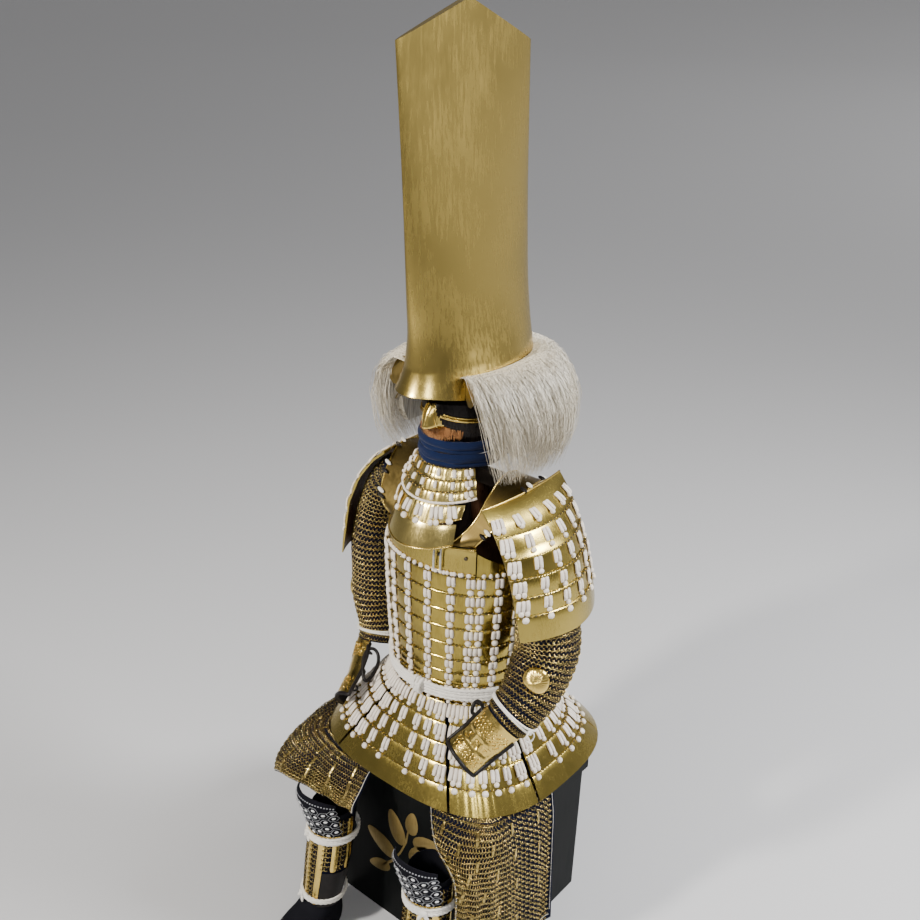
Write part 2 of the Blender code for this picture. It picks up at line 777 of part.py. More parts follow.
def patch_on(name, grid, row, column, radius, height, colour):
    """Round boss that lies on a tube, made from the tube's own points."""
    normals = normals_of(grid, True)
    width = len(grid[0])

    def surface(down, across):
        i = min(max(int(math.floor(down)), 0), len(grid) - 2)
        j = int(math.floor(across)) % width
        k = (j + 1) % width
        di = down - i
        dj = across - math.floor(across)
        point = grid[i][j].lerp(grid[i][k], dj).lerp(grid[i + 1][j].lerp(grid[i + 1][k], dj), di)
        normal = normals[i][j].lerp(normals[i][k], dj)
        normal = normal.lerp(normals[i + 1][j].lerp(normals[i + 1][k], dj), di)
        return point, normal.normalized()

    step_down = (grid[row + 1][column % width] - grid[row][column % width]).length
    step_across = (grid[row][(column + 1) % width] - grid[row][column % width]).length
    rings = BOSS_RINGS
    sides = BOSS_SIDES
    bottom = []
    top = []
    for ring in range(1, rings + 1):
        share = ring / rings
        for k in range(sides):
            turn = 2 * math.pi * k / sides
            point, normal = surface(row + radius * share * math.cos(turn) / step_down,
                                    column + radius * share * math.sin(turn) / step_across)
            bottom.append(point + normal * BOSS_CLEAR)
            rise = height * math.sqrt(max(0.02, 1.0 - share * share)) + 2 * BOSS_CLEAR
            top.append(point + normal * (BOSS_CLEAR + rise))
    point, normal = surface(row, column)
    points = bottom + [point + normal * BOSS_CLEAR]
    points += top + [point + normal * (height + 3 * BOSS_CLEAR)]
    shift = rings * sides + 1
    faces = []
    for base in (0, shift):
        for ring in range(rings - 1):
            for k in range(sides):
                a = base + ring * sides + k
                b = base + ring * sides + (k + 1) % sides
                faces.append((a, b, b + sides, a + sides))
        for k in range(sides):
            faces.append((base + rings * sides, base + k, base + (k + 1) % sides))
    last = (rings - 1) * sides
    for k in range(sides):
        a = last + k
        b = last + (k + 1) % sides
        faces.append((a, b, b + shift, a + shift))
    return add_solid(name, points, faces, colour)


TIE_WALL = 0.004
TIE_HALF_HEIGHT = 0.005
TIE_ROUND = 0.0015


def ring_on(name, grid, row, thickness, half_height, colour):
    """Cord ring that ties round a tube, made from the tube's own points."""
    out = moved(grid, thickness + TIE_ROUND, closed=True)
    down = [(b - a).normalized() for a, b in zip(out[row - 1], out[row])]
    base = [[p - d * half_height for p, d in zip(out[row], down)],
            out[row],
            [p + d * half_height for p, d in zip(out[row], down)]]
    relief = [[0.0] * len(down), [TIE_ROUND] * len(down), [0.0] * len(down)]
    return wall(name, base, thickness, colour, closed=True, relief=relief)


# Hand guards: fingertip point and back-of-hand direction
HAND_LEFT = (Vector((0.164, -0.212, 0.580)), Vector((0.42, -0.52, 0.74)))
HAND_RIGHT = (Vector((-0.172, -0.188, 0.535)), Vector((-0.80, -0.30, 0.50)))
HAND_HALF_WIDTH = 0.041
HAND_ARCH = 0.026
HAND_SEAT = 0.0028


def hand_guard(name, sleeve, tip, back):
    """Arched plate from the sleeve's end over the back of the hand, open below."""
    last = sleeve[-1]
    wrist = sum(last, Vector()) / len(last)
    radius = max((p - wrist).length for p in last) + HAND_SEAT
    down = (wrist - sum(sleeve[-2], Vector()) / len(last)).normalized()
    along = (tip - wrist).normalized()
    length = (tip - wrist).length
    grid = []
    for share in spread(0.0, 1.0, 6):
        axis = down.lerp(along, min(1.0, share * 2.5)).normalized()
        up = (back - axis * back.dot(axis)).normalized()
        across = axis.cross(up)
        flat = min(1.0, share * 1.6)
        half = blend(radius, HAND_HALF_WIDTH, flat)
        row = []
        for t in spread(-1.0, 1.0, 8):
            turn = math.radians(72 * t)
            round_place = across * (half * math.sin(turn)) + up * (radius * math.cos(turn))
            arch = HAND_ARCH * (1.0 - abs(t) ** 2.6) * (1.0 - 0.2 * share)
            flat_place = across * (half * t) + up * arch
            row.append(wrist + along * (length * share) + round_place.lerp(flat_place, flat))
        grid.append(row)
    normal = normals_of(grid, False)[2][4]
    if normal.dot(back) < 0:
        grid = [row[::-1] for row in grid]
    wall(name, grid, PLATE, "gold_plate")


# Thigh guard control points, from the belt to the hem. In each row the first
# point is the inner edge and the last the outer edge: x, y, height.
THIGH_LEFT = (
    ((0.058, -0.172, 0.466), (0.124, -0.152, 0.464), (0.168, -0.105, 0.462), (0.184, -0.018, 0.462)),
    ((0.108, -0.232, 0.440), (0.200, -0.220, 0.443), (0.243, -0.174, 0.443), (0.238, -0.010, 0.4435)),
    ((0.146, -0.258, 0.388), (0.210, -0.246, 0.385), (0.255, -0.172, 0.380), (0.254, -0.008, 0.378)),
    ((0.203, -0.268, 0.330), (0.234, -0.238, 0.315), (0.258, -0.160, 0.300), (0.256, -0.006, 0.290)),
    ((0.212, -0.274, 0.215), (0.238, -0.238, 0.205), (0.260, -0.155, 0.195), (0.258, -0.004, 0.185)),
    ((0.214, -0.280, 0.105), (0.240, -0.240, 0.095), (0.262, -0.150, 0.085), (0.260, -0.002, 0.075)),
)
THIGH_RIGHT = (
    ((-0.052, -0.172, 0.466), (-0.124, -0.152, 0.464), (-0.168, -0.105, 0.462), (-0.184, -0.018, 0.462)),
    ((-0.050, -0.232, 0.440), (-0.150, -0.236, 0.443), (-0.244, -0.186, 0.443), (-0.242, -0.012, 0.4435)),
    ((-0.050, -0.262, 0.405), (-0.146, -0.276, 0.418), (-0.268, -0.244, 0.430), (-0.304, -0.080, 0.418)),
    ((-0.060, -0.272, 0.370), (-0.144, -0.292, 0.396), (-0.268, -0.290, 0.400), (-0.312, -0.090, 0.270)),
    ((-0.062, -0.272, 0.350), (-0.142, -0.298, 0.374), (-0.264, -0.304, 0.364), (-0.308, -0.085, 0.105)),
)
FOLD_ROWS = 12
FOLD_COLUMNS = 13
FOLD_DEPTH = 0.004
BELT_TOP = 0.634
BELT_BOTTOM = 0.604


def belt_point(angle, height):
    """Belt line just inside the cuirass's lower edge."""
    half, deep = from_table(CUIRASS, CUIRASS_BOTTOM)
    fit = PLATE + 2 * GAP
    return oval(half - fit, deep - fit, BODY_Y, height, angle)


def thigh_guard(name, side, table):
    """Apron half of mail and small plates on cloth, draped over the thigh."""
    start, end = 20.0, 88.0
    belt = [belt_point(side * blend(start, end, share), BELT_BOTTOM - 2 * GAP)
            for share in (0, 1 / 3, 2 / 3, 1)]
    rows = [belt] + [[Vector(point) for point in row] for row in table]
    grid = smooth_grid(rows, FOLD_ROWS, FOLD_COLUMNS)
    if side < 0:
        grid = [row[::-1] for row in grid]
    relief = []
    for i in range(FOLD_ROWS):
        depth = FOLD_DEPTH * max(0.0, i / (FOLD_ROWS - 1) - 0.4)
        relief.append([depth * (1.0 + math.cos(math.pi * j)) for j in range(FOLD_COLUMNS)])
    normals = normals_of(grid, False)
    grid = [[p + n * r for p, n, r in zip(a, b, c)] for a, b, c in zip(grid, normals, relief)]
    wall(name, grid, CLOTH, "mail")


def thigh_belt():
    """Cloth belt of the thigh guards, tied inside the cuirass."""
    angles = [CUIRASS_COLUMN * j for j in range(32)]
    grid = [[belt_point(a, height) for a in angles] for height in (BELT_TOP, BELT_BOTTOM)]
    wall("thigh_guard_belt", grid, CLOTH, "navy_cloth", closed=True)


# Leg and foot rings: height, half width, half depth, centre y, outward x
LEG = (
    (0.325, 0.0485, 0.0485, -0.258, 0.000),
    (0.270, 0.0470, 0.0470, -0.260, 0.001),
    (0.200, 0.0480, 0.0480, -0.268, 0.003),
    (0.130, 0.0430, 0.0430, -0.282, 0.005),
    (0.085, 0.0400, 0.0400, -0.292, 0.008),
    (0.065, 0.0410, 0.0620, -0.308, 0.009),
    (0.048, 0.0440, 0.0920, -0.332, 0.010),
    (0.020, 0.0460, 0.1100, -0.346, 0.010),
    (0.000, 0.0430, 0.1060, -0.346, 0.010),
)
LEG_SIDES = 15
PAD_REACH = 62.0


def leg_ring(side, height, out=0.0, angles=None):
    """Ring round a leg, or a distance out from it."""
    half, deep, centre, lean = from_table(LEG, height)
    angles = angles or [360 * j / LEG_SIDES for j in range(LEG_SIDES)]
    return [oval(half + out, deep + out, centre, height, a, centre_x=side * (LEG_X + lean))
            for a in angles]


def leg(side, word):
    """Legging and sock, with the shin guard, knee pad and ties on it."""
    grid = [leg_ring(side, row[0]) for row in LEG]
    wall("legging_" + word, grid, CLOTH, "black_cloth", closed=True, cap="bottom")
    angles = []
    relief_row = []
    for splint in range(-3, 4):
        for shift, lift in ((-8.5, 0.0), (-7.0, 0.0016), (7.0, 0.0016), (8.5, 0.0)):
            angles.append(splint * 30.0 + shift)
            relief_row.append(lift)
    shin_heights = (0.312, 0.270, 0.200, 0.130, 0.092)
    out = 0.0030
    grid = [leg_ring(side, z, out, angles) for z in shin_heights]
    wall("shin_guard_" + word, grid, 0.0018, "gold_plate",
         relief=[relief_row] * len(shin_heights))
    pad_angles = spread(-PAD_REACH, PAD_REACH, 9)
    pad = []
    for height, reach, lean in ((0.392, 0.014, 0.018), (0.365, 0.0145, 0.018),
                                (0.320, 0.012, 0.007), (0.275, 0.0076, 0.000)):
        row = []
        for a in pad_angles:
            half, deep, centre, shift = from_table(LEG, min(height, LEG_TOP))
            drop = 0.016 * (a / PAD_REACH) ** 2 if height > 0.38 else 0.0
            row.append(oval(half + reach, deep + reach, centre - lean, height - drop, a,
                            centre_x=side * (LEG_X + shift)))
        pad.append(row)
    wall("knee_pad_" + word, pad, 0.0025, "black_cloth")
    for tie, height, out in (("knee_tie_", 0.262, 0.0104), ("ankle_tie_", 0.104, 0.0101)):
        rows = []
        for lift, bulge in ((0.008, 0.0), (0.0, 0.002), (-0.008, 0.0)):
            rows.append(leg_ring(side, height + lift, out + bulge,
                                 [18.0 * j for j in range(20)]))
        wall(tie + word, rows, 0.0050, "white_cord", closed=True)


def stand():
    """Plain wooden stand inside: post, shoulder bar and head block."""
    sides = 16
    low = CHEST_HEIGHT + GAP
    bar_top = STRAP_TOP - STRAP_WALL - GAP
    head_low = 1.150
    post = []
    for z in (low, head_low - GAP):
        post.append([Vector((POST_RADIUS * math.cos(2 * math.pi * k / sides),
                             POST_Y + POST_RADIUS * math.sin(2 * math.pi * k / sides), z))
                     for k in range(sides)])
    loft("stand_post", post, "wood")
    bar_y = POST_Y + POST_RADIUS + GAP
    block("stand_shoulder_bar",
          (-BAR_HALF_LENGTH, bar_y, bar_top - BAR_HEIGHT),
          (BAR_HALF_LENGTH, bar_y + 0.020, bar_top), "wood")
    rings = []
    for z, half, deep in ((head_low, 0.030, 0.030), (1.170, 0.0600, 0.045),
                          (1.190, MASK[3][1] - PLATE - HEAD_FIT, 0.055),
                          (1.225, MASK[1][1] - PLATE - HEAD_FIT, 0.060),
                          (1.300, 0.070, 0.070)):
        rings.append([oval(half, deep, BODY_Y, z, 360 * j / HELMET_SIDES)
                      for j in range(HELMET_SIDES)])
    for z in (1.345, 1.369):
        half = from_table(HELMET, z)[2]
        rings.append([oval(half - HELMET_WALL - BOWL_FIT, 0.070, BODY_Y, z, 360 * j / HELMET_SIDES)
                      for j in range(HELMET_SIDES)])
    loft("stand_head_block", rings, "wood")


def build():
    for item in list(bpy.data.objects):
        bpy.data.objects.remove(item, do_unlink=True)
    chest()
    stand()
    cuirass()
    chest_and_back_plates()
    shoulder_strap("shoulder_strap_left", 1)
    shoulder_strap("shoulder_strap_right", -1)
    sash()
    tassets()
    shoulder_guard("shoulder_guard_left", 1, GUARD_LEFT)
    shoulder_guard("shoulder_guard_right", -1, GUARD_RIGHT)
    for word, table, hand, boss in (("left", SLEEVE_LEFT, HAND_LEFT, (7, 1)),
                                    ("right", SLEEVE_RIGHT, HAND_RIGHT, (7, 11))):
        grid = sleeve_grid(table)
        wall("sleeve_" + word, grid, CLOTH, "mail", closed=True)
        patch_on("elbow_plate_" + word, grid, boss[0], boss[1], BOSS_RADIUS, BOSS_HEIGHT, "gold_plate")
        ring_on("wrist_tie_" + word, grid, SLEEVE_ROWS - 2, TIE_WALL, TIE_HALF_HEIGHT, "white_cord")
        hand_guard("hand_guard_" + word, grid, *hand)
    thigh_belt()
    thigh_guard("thigh_guard_left", 1, THIGH_LEFT)
    thigh_guard("thigh_guard_right", -1, THIGH_RIGHT)
    leg(1, "left")
    leg(-1, "right")
    helmet()
    neck_guard()
    mane()
    turned_back_end("turned_back_end_left", 1)
    turned_back_end("turned_back_end_right", -1)
    mask()
    beard()
    scarf()
    bibs()


build()
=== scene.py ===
"""Looks of the samurai armour on its armour chest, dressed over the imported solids.

Metres, +Z up. -Y is the armour's front and +X is its left side.
"""
import math
import random

import bmesh
import bpy
import numpy as np
from mathutils import Matrix, Vector, noise


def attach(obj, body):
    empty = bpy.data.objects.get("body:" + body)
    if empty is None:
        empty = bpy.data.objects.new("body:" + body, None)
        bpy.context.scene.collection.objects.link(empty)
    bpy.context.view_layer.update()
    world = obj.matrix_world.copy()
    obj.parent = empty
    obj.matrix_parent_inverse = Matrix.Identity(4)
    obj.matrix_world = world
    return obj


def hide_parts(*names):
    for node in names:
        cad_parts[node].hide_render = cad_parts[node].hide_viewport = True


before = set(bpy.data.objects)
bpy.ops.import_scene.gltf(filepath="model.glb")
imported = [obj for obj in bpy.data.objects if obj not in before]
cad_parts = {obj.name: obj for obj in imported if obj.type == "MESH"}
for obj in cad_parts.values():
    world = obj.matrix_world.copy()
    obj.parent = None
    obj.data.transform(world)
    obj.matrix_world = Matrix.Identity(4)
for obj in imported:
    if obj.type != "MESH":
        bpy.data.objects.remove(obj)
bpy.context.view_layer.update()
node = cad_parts


# Camera
# The armour is seen from in front of its left side, from above the shoulders, with
# the camera tipped down and rolled two degrees.
CAMERA_PLACE = Vector((1.1579, -1.4722, 1.904))
CAMERA_LENS = 41.09
CAMERA_ROLL = math.radians(-2.0)
look = Vector((-0.5762, 0.7116, -0.4019)).normalized()
level = Vector((0.7771, 0.6293, 0.0)).normalized()
upright = level.cross(look)
camera_x = level * math.cos(CAMERA_ROLL) + upright * math.sin(-CAMERA_ROLL)
camera_y = -look.cross(camera_x)
camera = bpy.data.objects.new("camera", bpy.data.cameras.new("camera"))
bpy.context.scene.collection.objects.link(camera)
camera.data.lens = CAMERA_LENS
camera.data.sensor_width = 36.0
camera.data.clip_end = 500.0
camera.matrix_world = Matrix.Translation(CAMERA_PLACE) @ Matrix(
    (camera_x, camera_y, -look)).transposed().to_4x4()
bpy.context.scene.camera = camera


# Floor and light
# A pale studio floor that curves up far away. A small lamp in front makes the hot spots,
# soft lamps stand at the left and behind, and the surround is darker on the right side,
# so that the gold mirrors both light and dark.

# Floor rings from the middle outward: radius, height
FLOOR = ((4.0, 0.0), (8.0, 0.0), (14.0, 0.10), (24.0, 0.9), (40.0, 4.0), (64.0, 12.0), (100.0, 34.0))
FLOOR_SIDES = 48
FLOOR_COLOUR = (0.56, 0.56, 0.57, 1.0)
FLOOR_ROUGHNESS = 0.55
SURROUND_HIGH = (0.96, 0.95, 0.95, 1.0)
SURROUND_LOW = (0.34, 0.34, 0.35, 1.0)
SURROUND_DARK = (0.05, 0.05, 0.05, 1.0)
SURROUND_STRENGTH = 0.44
DARK_SIDE = Vector((-0.93, -0.36, 0.0))


def new_material(name):
    """A node material with its Principled shader at hand."""
    material = bpy.data.materials.new(name)
    material.use_nodes = True
    return material, material.node_tree.nodes["Principled BSDF"]


def node_of(tree, kind, **values):
    """Add a shader node and set its fields or its input sockets."""
    made = tree.nodes.new(kind)
    for key, value in values.items():
        if key in made.inputs:
            made.inputs[key].default_value = value
        else:
            setattr(made, key, value)
    return made


def add_lamp(name, place, target, size, power, colour=(1.0, 1.0, 1.0)):
    """A round soft lamp that faces its target."""
    data = bpy.data.lights.new(name, "AREA")
    data.shape = "DISK"
    data.size = size
    data.energy = power
    data.color = colour
    lamp = bpy.data.objects.new(name, data)
    lamp.location = place
    lamp.rotation_mode = "QUATERNION"
    lamp.rotation_quaternion = (Vector(target) - Vector(place)).to_track_quat("-Z", "Y")
    bpy.context.scene.collection.objects.link(lamp)


def ring_faces(rings, width):
    """Quads between neighbouring closed rings with one count of points."""
    faces = []
    for i in range(rings - 1):
        for j in range(width):
            a = i * width + j
            b = i * width + (j + 1) % width
            faces.append((a, a + width, b + width, b))
    return faces


floor_mesh = bpy.data.meshes.new("floor")
floor_points = []
for radius, height in FLOOR:
    for j in range(FLOOR_SIDES):
        turn = 2 * math.pi * j / FLOOR_SIDES
        floor_points.append((radius * math.cos(turn), radius * math.sin(turn), height))
floor_faces = [tuple(range(FLOOR_SIDES))] + ring_faces(len(FLOOR), FLOOR_SIDES)
floor_mesh.from_pydata(floor_points, [], floor_faces)
floor_mesh.shade_smooth()
floor = bpy.data.objects.new("floor", floor_mesh)
bpy.context.scene.collection.objects.link(floor)
floor_material, floor_shader = new_material("pale_floor")
floor_shader.inputs["Base Color"].default_value = FLOOR_COLOUR
floor_shader.inputs["Roughness"].default_value = FLOOR_ROUGHNESS
floor_mesh.materials.append(floor_material)

add_lamp("key_lamp", (-0.65, -2.75, 2.75), (0.0, 0.0, 0.9), 0.32, 165.0, (1.0, 0.96, 0.90))
add_lamp("wall_lamp", (10.0, 14.0, 14.0), (6.0, 20.0, 0.0), 8.0, 2600.0)
add_lamp("ceiling_lamp", (2.4, 1.3, 3.0), (1.2, 0.6, 0.0), 1.0, 210.0)
add_lamp("front_lamp", (1.9, -2.3, 2.6), (0.0, 0.0, 0.8), 0.6, 26.0)

world = bpy.data.worlds.new("gallery")
bpy.context.scene.world = world
world.use_nodes = True
sky = world.node_tree
background = sky.nodes["Background"]
background.inputs["Strength"].default_value = SURROUND_STRENGTH
place_on_sky = node_of(sky, "ShaderNodeTexCoord")
split_sky = node_of(sky, "ShaderNodeSeparateXYZ")
sky_ramp = node_of(sky, "ShaderNodeMapRange")
sky_ramp.inputs["From Min"].default_value = -0.25
sky_ramp.inputs["From Max"].default_value = 0.75
sky_mix = node_of(sky, "ShaderNodeMix", data_type="RGBA")
sky_mix.inputs[6].default_value = SURROUND_LOW
sky_mix.inputs[7].default_value = SURROUND_HIGH
sky.links.new(place_on_sky.outputs["Generated"], split_sky.inputs[0])
sky.links.new(split_sky.outputs["Z"], sky_ramp.inputs["Value"])
sky.links.new(sky_ramp.outputs["Result"], sky_mix.inputs[0])
dark_share = node_of(sky, "ShaderNodeVectorMath", operation="DOT_PRODUCT")
dark_share.inputs[1].default_value = DARK_SIDE
dark_ramp = node_of(sky, "ShaderNodeMapRange", interpolation_type="SMOOTHSTEP")
dark_ramp.inputs["From Min"].default_value = 0.10
dark_ramp.inputs["From Max"].default_value = 0.85
dark_mix = node_of(sky, "ShaderNodeMix", data_type="RGBA")
dark_mix.inputs[7].default_value = SURROUND_DARK
sky.links.new(place_on_sky.outputs["Generated"], dark_share.inputs[0])
sky.links.new(dark_share.outputs["Value"], dark_ramp.inputs["Value"])
sky.links.new(dark_ramp.outputs["Result"], dark_mix.inputs[0])
sky.links.new(sky_mix.outputs[2], dark_mix.inputs[6])
sky.links.new(dark_mix.outputs[2], background.inputs["Color"])


# Armour chest
# A wooden chest and drop-over lid under many coats of black lacquer, with a sprig of
# leaves in raised gold lacquer on its front.
def new_group(name, inputs, outputs):
    """A shader node group with named sockets; returns it with its two end nodes."""
    group = bpy.data.node_groups.new(name, "ShaderNodeTree")
    for label, kind, value in inputs:
        socket = group.interface.new_socket(label, in_out="INPUT", socket_type=kind)
        socket.default_value = value
    for label, kind in outputs:
        group.interface.new_socket(label, in_out="OUTPUT", socket_type=kind)
    return group, group.nodes.new("NodeGroupInput"), group.nodes.new("NodeGroupOutput")


def place_group(material, group, **values):
    """Put a node group in a material with its own values."""
    made = material.node_tree.nodes.new("ShaderNodeGroup")
    made.node_tree = group
    for label, value in values.items():
        made.inputs[label.replace("_", " ")].default_value = value
    return made


wear_group, wear_in, wear_out = new_group(
    "wear_dust_and_painted_reflection",
    (("Base", "NodeSocketColor", (0.5, 0.5, 0.5, 1)), ("Worn", "NodeSocketColor", (0.3, 0.3, 0.3, 1)),
     ("Patch Scale", "NodeSocketFloat", 14.0), ("Fine Scale", "NodeSocketFloat", 260.0),
     ("Wear", "NodeSocketFloat", 0.5), ("Smooth", "NodeSocketFloat", 0.3),
     ("Rough", "NodeSocketFloat", 0.5)),
    (("Color", "NodeSocketColor"), ("Roughness", "NodeSocketFloat"), ("Height", "NodeSocketFloat")))


def fill_wear_group():
    """Soft patches of tone, fine scratches drawn downward, and their height."""
    links = wear_group.links
    spot = node_of(wear_group, "ShaderNodeTexCoord")
    patch = node_of(wear_group, "ShaderNodeTexNoise", Detail=5.0, Roughness=0.6)
    fine = node_of(wear_group, "ShaderNodeTexNoise", Detail=3.0, Roughness=0.7)
    stretch = node_of(wear_group, "ShaderNodeMapping")
    stretch.inputs["Scale"].default_value = (1.0, 1.0, 0.12)
    links.new(spot.outputs["Object"], patch.inputs["Vector"])
    links.new(spot.outputs["Object"], stretch.inputs["Vector"])
    links.new(stretch.outputs["Vector"], fine.inputs["Vector"])
    links.new(wear_in.outputs["Patch Scale"], patch.inputs["Scale"])
    links.new(wear_in.outputs["Fine Scale"], fine.inputs["Scale"])
    both = node_of(wear_group, "ShaderNodeMath", operation="MULTIPLY")
    links.new(patch.outputs["Fac"], both.inputs[0])
    links.new(fine.outputs["Fac"], both.inputs[1])
    spread_out = node_of(wear_group, "ShaderNodeMapRange")
    spread_out.inputs["From Min"].default_value = 0.16
    spread_out.inputs["From Max"].default_value = 0.40
    links.new(both.outputs[0], spread_out.inputs["Value"])
    share = node_of(wear_group, "ShaderNodeMath", operation="MULTIPLY")
    links.new(spread_out.outputs["Result"], share.inputs[0])
    links.new(wear_in.outputs["Wear"], share.inputs[1])
    tone = node_of(wear_group, "ShaderNodeMix", data_type="RGBA")
    links.new(share.outputs[0], tone.inputs[0])
    links.new(wear_in.outputs["Base"], tone.inputs[6])
    links.new(wear_in.outputs["Worn"], tone.inputs[7])
    links.new(tone.outputs[2], wear_out.inputs["Color"])
    rough = node_of(wear_group, "ShaderNodeMix", data_type="FLOAT")
    links.new(spread_out.outputs["Result"], rough.inputs[0])
    links.new(wear_in.outputs["Smooth"], rough.inputs[2])
    links.new(wear_in.outputs["Rough"], rough.inputs[3])
    links.new(rough.outputs[0], wear_out.inputs["Roughness"])
    links.new(fine.outputs["Fac"], wear_out.inputs["Height"])


fill_wear_group()


def worn_finish(name, base, worn, smooth, rough, metal=0.0, wear=0.6, patch=14.0, fine=260.0,
                bump=0.05, coat=0.0, gloss=0.5):
    """Lacquer, leaf, leather or wood: one shader fed by the wear group, whose dark worn patches on the
    cuirass plates are also painted dark reflection.
    """
    material, shader = new_material(name)
    links = material.node_tree.links
    effect = place_group(material, wear_group, Base=(*base, 1.0), Worn=(*worn, 1.0), Wear=wear,
                         Smooth=smooth, Rough=rough, Patch_Scale=patch, Fine_Scale=fine)
    relief = node_of(material.node_tree, "ShaderNodeBump", Strength=bump, Distance=0.0006)
    links.new(effect.outputs["Color"], shader.inputs["Base Color"])
    links.new(effect.outputs["Roughness"], shader.inputs["Roughness"])
    links.new(effect.outputs["Height"], relief.inputs["Height"])
    links.new(relief.outputs["Normal"], shader.inputs["Normal"])
    shader.inputs["Metallic"].default_value = metal
    shader.inputs["Coat Weight"].default_value = coat
    shader.inputs["Coat Roughness"].default_value = 0.08
    shader.inputs["Specular IOR Level"].default_value = gloss
    return material


SHARP_EDGE = 48.0


def paint(material, *names):
    """Give carried-over solids their finish."""
    for name in names:
        node[name].data.materials.clear()
        node[name].data.materials.append(material)


def set_down(name, mesh, replaced):
    """Put a mesh in the scene as a piece that rides with the armour."""
    piece = bpy.data.objects.new(name, mesh)
    bpy.context.scene.collection.objects.link(piece)
    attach(piece, "root")
    if replaced:
        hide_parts(*replaced)
    return piece


def add_piece(name, points, faces, materials, slot, replaced=(), face_finish=None, smooth=True):
    """Make a piece from points and faces, smooth but for its sharp edges."""
    mesh = bpy.data.meshes.new(name)
    mesh.from_pydata([tuple(point) for point in points], [], faces)
    for material in materials:
        mesh.materials.append(material)
    if face_finish is not None:
        mesh.polygons.foreach_set("material_index", face_finish)
    body = bmesh.new()
    body.from_mesh(mesh)
    bmesh.ops.recalc_face_normals(body, faces=body.faces)
    body.to_mesh(mesh)
    body.free()
    mesh.polygons.foreach_set("use_smooth", [smooth] * len(mesh.polygons))
    if smooth:
        mesh.set_sharp_from_angle(angle=math.radians(SHARP_EDGE))
    mesh.update()
    return set_down(name, mesh, replaced)


chest_lacquer = worn_finish("chest_lacquer", (0.004, 0.0045, 0.0045), (0.008, 0.009, 0.009), 0.28, 0.42,
                            wear=0.8, patch=5.0, fine=90.0, bump=0.0, gloss=0.03)
paint(chest_lacquer, "chest_body", "chest_lid")
sprig_gold = worn_finish("sprig_gold", (0.36, 0.26, 0.09), (0.24, 0.17, 0.06), 0.34, 0.52,
                         metal=1.0, wear=0.7, patch=40.0)
SPRIG_BODY_FRONT = -0.1767
SPRIG_RAISED = 0.0007

# Sprig leaves: x, height, length, half width, turn in degrees from straight up
SPRIG_LEAVES = (
    (-0.034, 0.176, 0.092, 0.027, -64.0),
    (-0.016, 0.222, 0.088, 0.026, -22.0),
    (0.010, 0.196, 0.086, 0.025, 40.0),
    (0.018, 0.246, 0.078, 0.023, 60.0),
    (0.008, 0.268, 0.062, 0.021, 8.0),
    (-0.050, 0.140, 0.066, 0.019, -112.0),
    (-0.012, 0.146, 0.084, 0.023, 82.0),
)
SPRIG_STEM = ((-0.074, 0.128), (-0.044, 0.160), (-0.020, 0.198), (-0.002, 0.240), (0.006, 0.292))


def leaf_points(x, height, length, half, turn):
    """Outline of one leaf, with its tip drawn out."""
    outline = []
    for k in range(20):
        angle = 2 * math.pi * k / 20
        along = length * 0.5 * (1 - math.cos(angle))
        across = half * math.sin(angle) * (1.0 - 0.35 * along / length)
        swing = math.radians(turn)
        outline.append((x + along * math.sin(swing) + across * math.cos(swing),
                        height + along * math.cos(swing) - across * math.sin(swing)))
    return outline


def stem_points():
    """Outline of the curved stem, thicker at its root."""
    left = []
    right = []
    for k, (x, z) in enumerate(SPRIG_STEM):
        half = 0.0026 - 0.0004 * k
        left.append((x - half, z + half * 0.6))
        right.append((x + half, z - half * 0.6))
    return left + right[::-1]


def raised_shape(outline, front):
    """A flat shape with its bevelled edge, standing on the chest's front."""
    count = len(outline)
    centre = [sum(p[i] for p in outline) / count for i in (0, 1)]
    points = []
    for inset, depth in ((1.0, 0.0), (1.0, SPRIG_RAISED * 0.6), (0.93, SPRIG_RAISED)):
        for x, z in outline:
            points.append((centre[0] + (x - centre[0]) * inset, front - 0.0002 - depth,
                           centre[1] + (z - centre[1]) * inset))
    faces = []
    for layer in (0, 1):
        for k in range(count):
            a = layer * count + k
            b = layer * count + (k + 1) % count
            faces.append((a, b, b + count, a + count))
    faces.append(tuple(range(2 * count, 3 * count)))
    faces.append(tuple(range(count - 1, -1, -1)))
    return points, faces


def joined(parts):
    """One list of points and faces from several."""
    points = []
    faces = []
    for some_points, some_faces in parts:
        shift = len(points)
        points.extend(some_points)
        faces.extend(tuple(i + shift for i in face) for face in some_faces)
    return points, faces


sprig_parts = [raised_shape(leaf_points(*leaf), SPRIG_BODY_FRONT) for leaf in SPRIG_LEAVES]
sprig_parts.append(raised_shape(stem_points(), SPRIG_BODY_FRONT))
add_piece("chest_sprig", *joined(sprig_parts), [sprig_gold], "gold_leaf")


# Inner stand
# A plain planed post, shoulder bar and head block of dark stained wood that carry the
# armour. They show only through the armholes, under the brim and from below.
stand_wood = worn_finish("stand_wood", (0.030, 0.022, 0.016), (0.012, 0.009, 0.007), 0.45, 0.6,
                         wear=0.8, patch=30.0, fine=400.0, bump=0.2, gloss=0.25)
paint(stand_wood, "stand_post", "stand_shoulder_bar", "stand_head_block")


# Leggings and socks
# Dark cotton leggings with split-toed socks, sewn to the shape of the leg and foot and
# standing hollow as they were worn.
SIDES = (("left", 1), ("right", -1))
LEG_X = 0.139
LEG_TOP = 0.325
CLOTH = 0.0018

